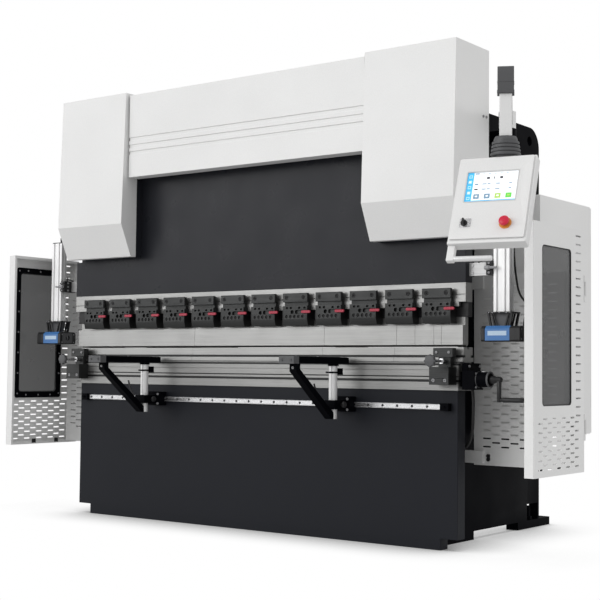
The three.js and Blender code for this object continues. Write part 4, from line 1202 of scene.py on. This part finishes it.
def controls():
    """Emergency stop with its collar, mode selector with its plate, and the handle."""
    make = Kit("control_panel", FACE)
    stop_x, stop_y = 70, -115
    ring = [(0, -8), (11, -8), (11, 0), (25, 0), (25, 2.2), (23, 4), (14, 4), (14, 1), (0, 1)]
    with make("stop_collar", AMBER) as collar:
        collar.lathe((stop_x, stop_y, DOOR_FACE - 0.2), UP, ring, 32)
    cap = [(0, 6), (10, 6), (11, 13), (20, 16), (21, 20), (20, 24), (15, 27), (7, 28.2), (0, 28.4)]
    with Kit("stop_button", FACE, node="emergency_stop")("stop_mushroom", RED, 0, True) as button:
        button.lathe((stop_x, stop_y, DOOR_FACE), UP, cap, 36)
    x, y = -97, -109
    with make("selector_plate", BRIGHT, 0.3) as plate:
        plate.prism("z", (DOOR_FACE, DOOR_FACE + 1.2), rounded((x - 19, x + 27), (y - 17, y + 22), 4),
                    [circle((x, y), 13.6, 24)])
        plate.ring("z", (x, y), 15.5, 13.6, (DOOR_FACE + 1, DOOR_FACE + 4))
    with Kit("selector", FACE, node="mode_selector")("selector_knob", PLASTIC, 0.8, True) as knob:
        knob.lathe((x, y, DOOR_FACE + 0.4), UP, [(0, 0), (13.2, 0), (13.2, 7), (12, 9.5), (0, 9.8)], 32)
        pointer = [(x - 4, y - 14), (x + 4, y - 14), (x + 4.5, y + 10), (x, y + 15), (x - 4.5, y + 10)]
        knob.prism("z", (DOOR_FACE + 8, DOOR_FACE + 23), pointer)
    under = -197.5 - 0.4
    make = Kit("control_panel", FACE, node="pendant_handle")
    with make("handle_leg", WHITE, 2.0, True) as leg:
        leg.box((-157, -127), (under - 66, under), (-32, -8))
    with make("handle_grip", ALUMINIUM, 0, True, slot="white_paint") as grip:
        profile = [(0, 0), (9.5, 0), (11, 2), (11, 163), (9, 168), (0, 169)]
        grip.lathe((-142, under - 54, -20), RIGHT, profile, 28)


pendant_arm()
control_box()
display()
controls()

# ---------- Back gauge ----------


def back_gauge():
    """Rail on the gauge beam, tracks under it and screws on the fingers."""
    (x0, x1), (y0, _), _ = box_of("gauge_beam")
    with Kit("gauge")("gauge_rail", BRIGHT, 0.6, slot="chrome") as rail:
        rail.box((x0 + 10, x1 - 10), (y0 - 6, y0 - 0.2), (750, 768))
    with Kit("frame")("gauge_tracks", BRIGHT, 0.4, slot="chrome") as tracks:
        for x in (-730, 730):
            tracks.box((x - 11, x + 11), (185, 635), (620.1, 622))
            tracks.box((x - 33, x - 31), (185, 635), (600, 616))
    for side, _ in SIDES:
        (x0, x1), (front, back), (_, top) = box_of(f"{side}_gauge_finger")
        make = Kit(f"{side}_finger", at_x((x0 + x1) / 2), side)
        with make("finger_screws", DARK_SCREW, 0.3) as screws:
            for dx in (-28, 28):
                for y in (back - 12, back - 62):
                    screws.screw((dx, y, 804), UP, 5, 4)
            for y in (front + 30, front + 60):
                screws.screw((0, y, top), UP, 5, 2)


back_gauge()

# ---------- Floor, lights and camera ----------


def world_light():
    """Soft studio surround, brighter above, to the right and in a lobe at the left front.

    The camera itself sees plain white.
    """
    world = bpy.data.worlds.new("studio")
    bpy.context.scene.world = world
    world.use_nodes = True
    graph = Graph(world.node_tree)
    background = graph.nodes["Background"]
    background.inputs["Color"].default_value = (1.0, 1.0, 1.0, 1.0)
    view = graph.add("ShaderNodeTexCoord").outputs["Generated"]
    direction = graph.add("ShaderNodeSeparateXYZ", {0: view}).outputs

    def weighted(weights, level):
        for axis, weight in zip(direction, weights):
            level = graph.maths("ADD", level, graph.maths("MULTIPLY", axis, weight))
        return level

    sky = graph.maths("MAXIMUM", weighted((0.46, 0.10, 0.34), 0.46), 0.12)
    lobe = graph.maths("MAXIMUM", weighted((-0.88, -0.47), 0.0), 0.0)
    glow = graph.maths("MULTIPLY", graph.maths("POWER", lobe, 14.0), 2.4)
    graph.links.new(graph.for_camera(1.0, graph.maths("ADD", sky, glow)), background.inputs["Strength"])


def floor():
    """Pale glowing floor with a painted contact shadow: it darkens softly where the machine stands on it."""
    half, reach, seen, bounced = 60.0, 0.42, 1.0, 0.55
    mesh = bpy.data.meshes.new("floor")
    corners = [(x, y, 0) for x, y in rectangle((-half, half), (-half, half))]
    mesh.from_pydata(corners, [], [(0, 1, 2, 3)])
    obj = bpy.data.objects.new("floor", mesh)
    bpy.context.scene.collection.objects.link(obj)
    material = bpy.data.materials.new("pale_floor")
    material.use_nodes = True
    graph = Graph(material.node_tree)
    graph.nodes.remove(graph.nodes["Principled BSDF"])
    # Painted contact shadow: ambient occlusion scales the floor's glow down near the machine.
    occlusion = graph.add("ShaderNodeAmbientOcclusion", {"Distance": reach}, samples=12)
    shade = graph.remap(occlusion.outputs["AO"], 0.10, 1.0, 0.25, 0.95)
    strength = graph.maths("MULTIPLY", shade, graph.for_camera(seen, bounced))
    emission = graph.add("ShaderNodeEmission", {"Strength": strength})
    graph.links.new(emission.outputs[0], graph.nodes["Material Output"].inputs["Surface"])
    mesh.materials.append(material)


def aimed(name, data, towards, roll=0.0):
    """Adds a light or camera that looks along a direction."""
    obj = bpy.data.objects.new(name, data)
    obj.rotation_mode = "QUATERNION"
    turn = Vector(towards).to_track_quat("-Z", "Y")
    obj.rotation_quaternion = turn @ Matrix.Rotation(roll, 4, "Z").to_quaternion()
    bpy.context.scene.collection.objects.link(obj)
    return obj


def key_light():
    """Broad soft key from the front left, above eye level."""
    data = bpy.data.lights.new("key", "SUN")
    data.energy = 1.2
    data.angle = math.radians(44)
    aimed("key", data, (0.46, 0.80, -0.38))


def camera():
    """The photograph's viewing angle: low, from the machine's right front."""
    data = bpy.data.cameras.new("camera")
    data.sensor_width = 36.0
    data.lens = 76.39
    data.clip_end = 200.0
    yaw, pitch, roll = math.radians(36.79), math.radians(3.13), math.radians(0.587)
    ahead = (-math.sin(yaw) * math.cos(pitch), math.cos(yaw) * math.cos(pitch), math.sin(pitch))
    cam = aimed("camera", data, ahead, roll)
    cam.location = (4.0534, -5.0518, 0.8035)
    bpy.context.scene.camera = cam


bpy.context.scene.view_settings.view_transform = "Standard"
world_light()
floor()
key_light()
camera()
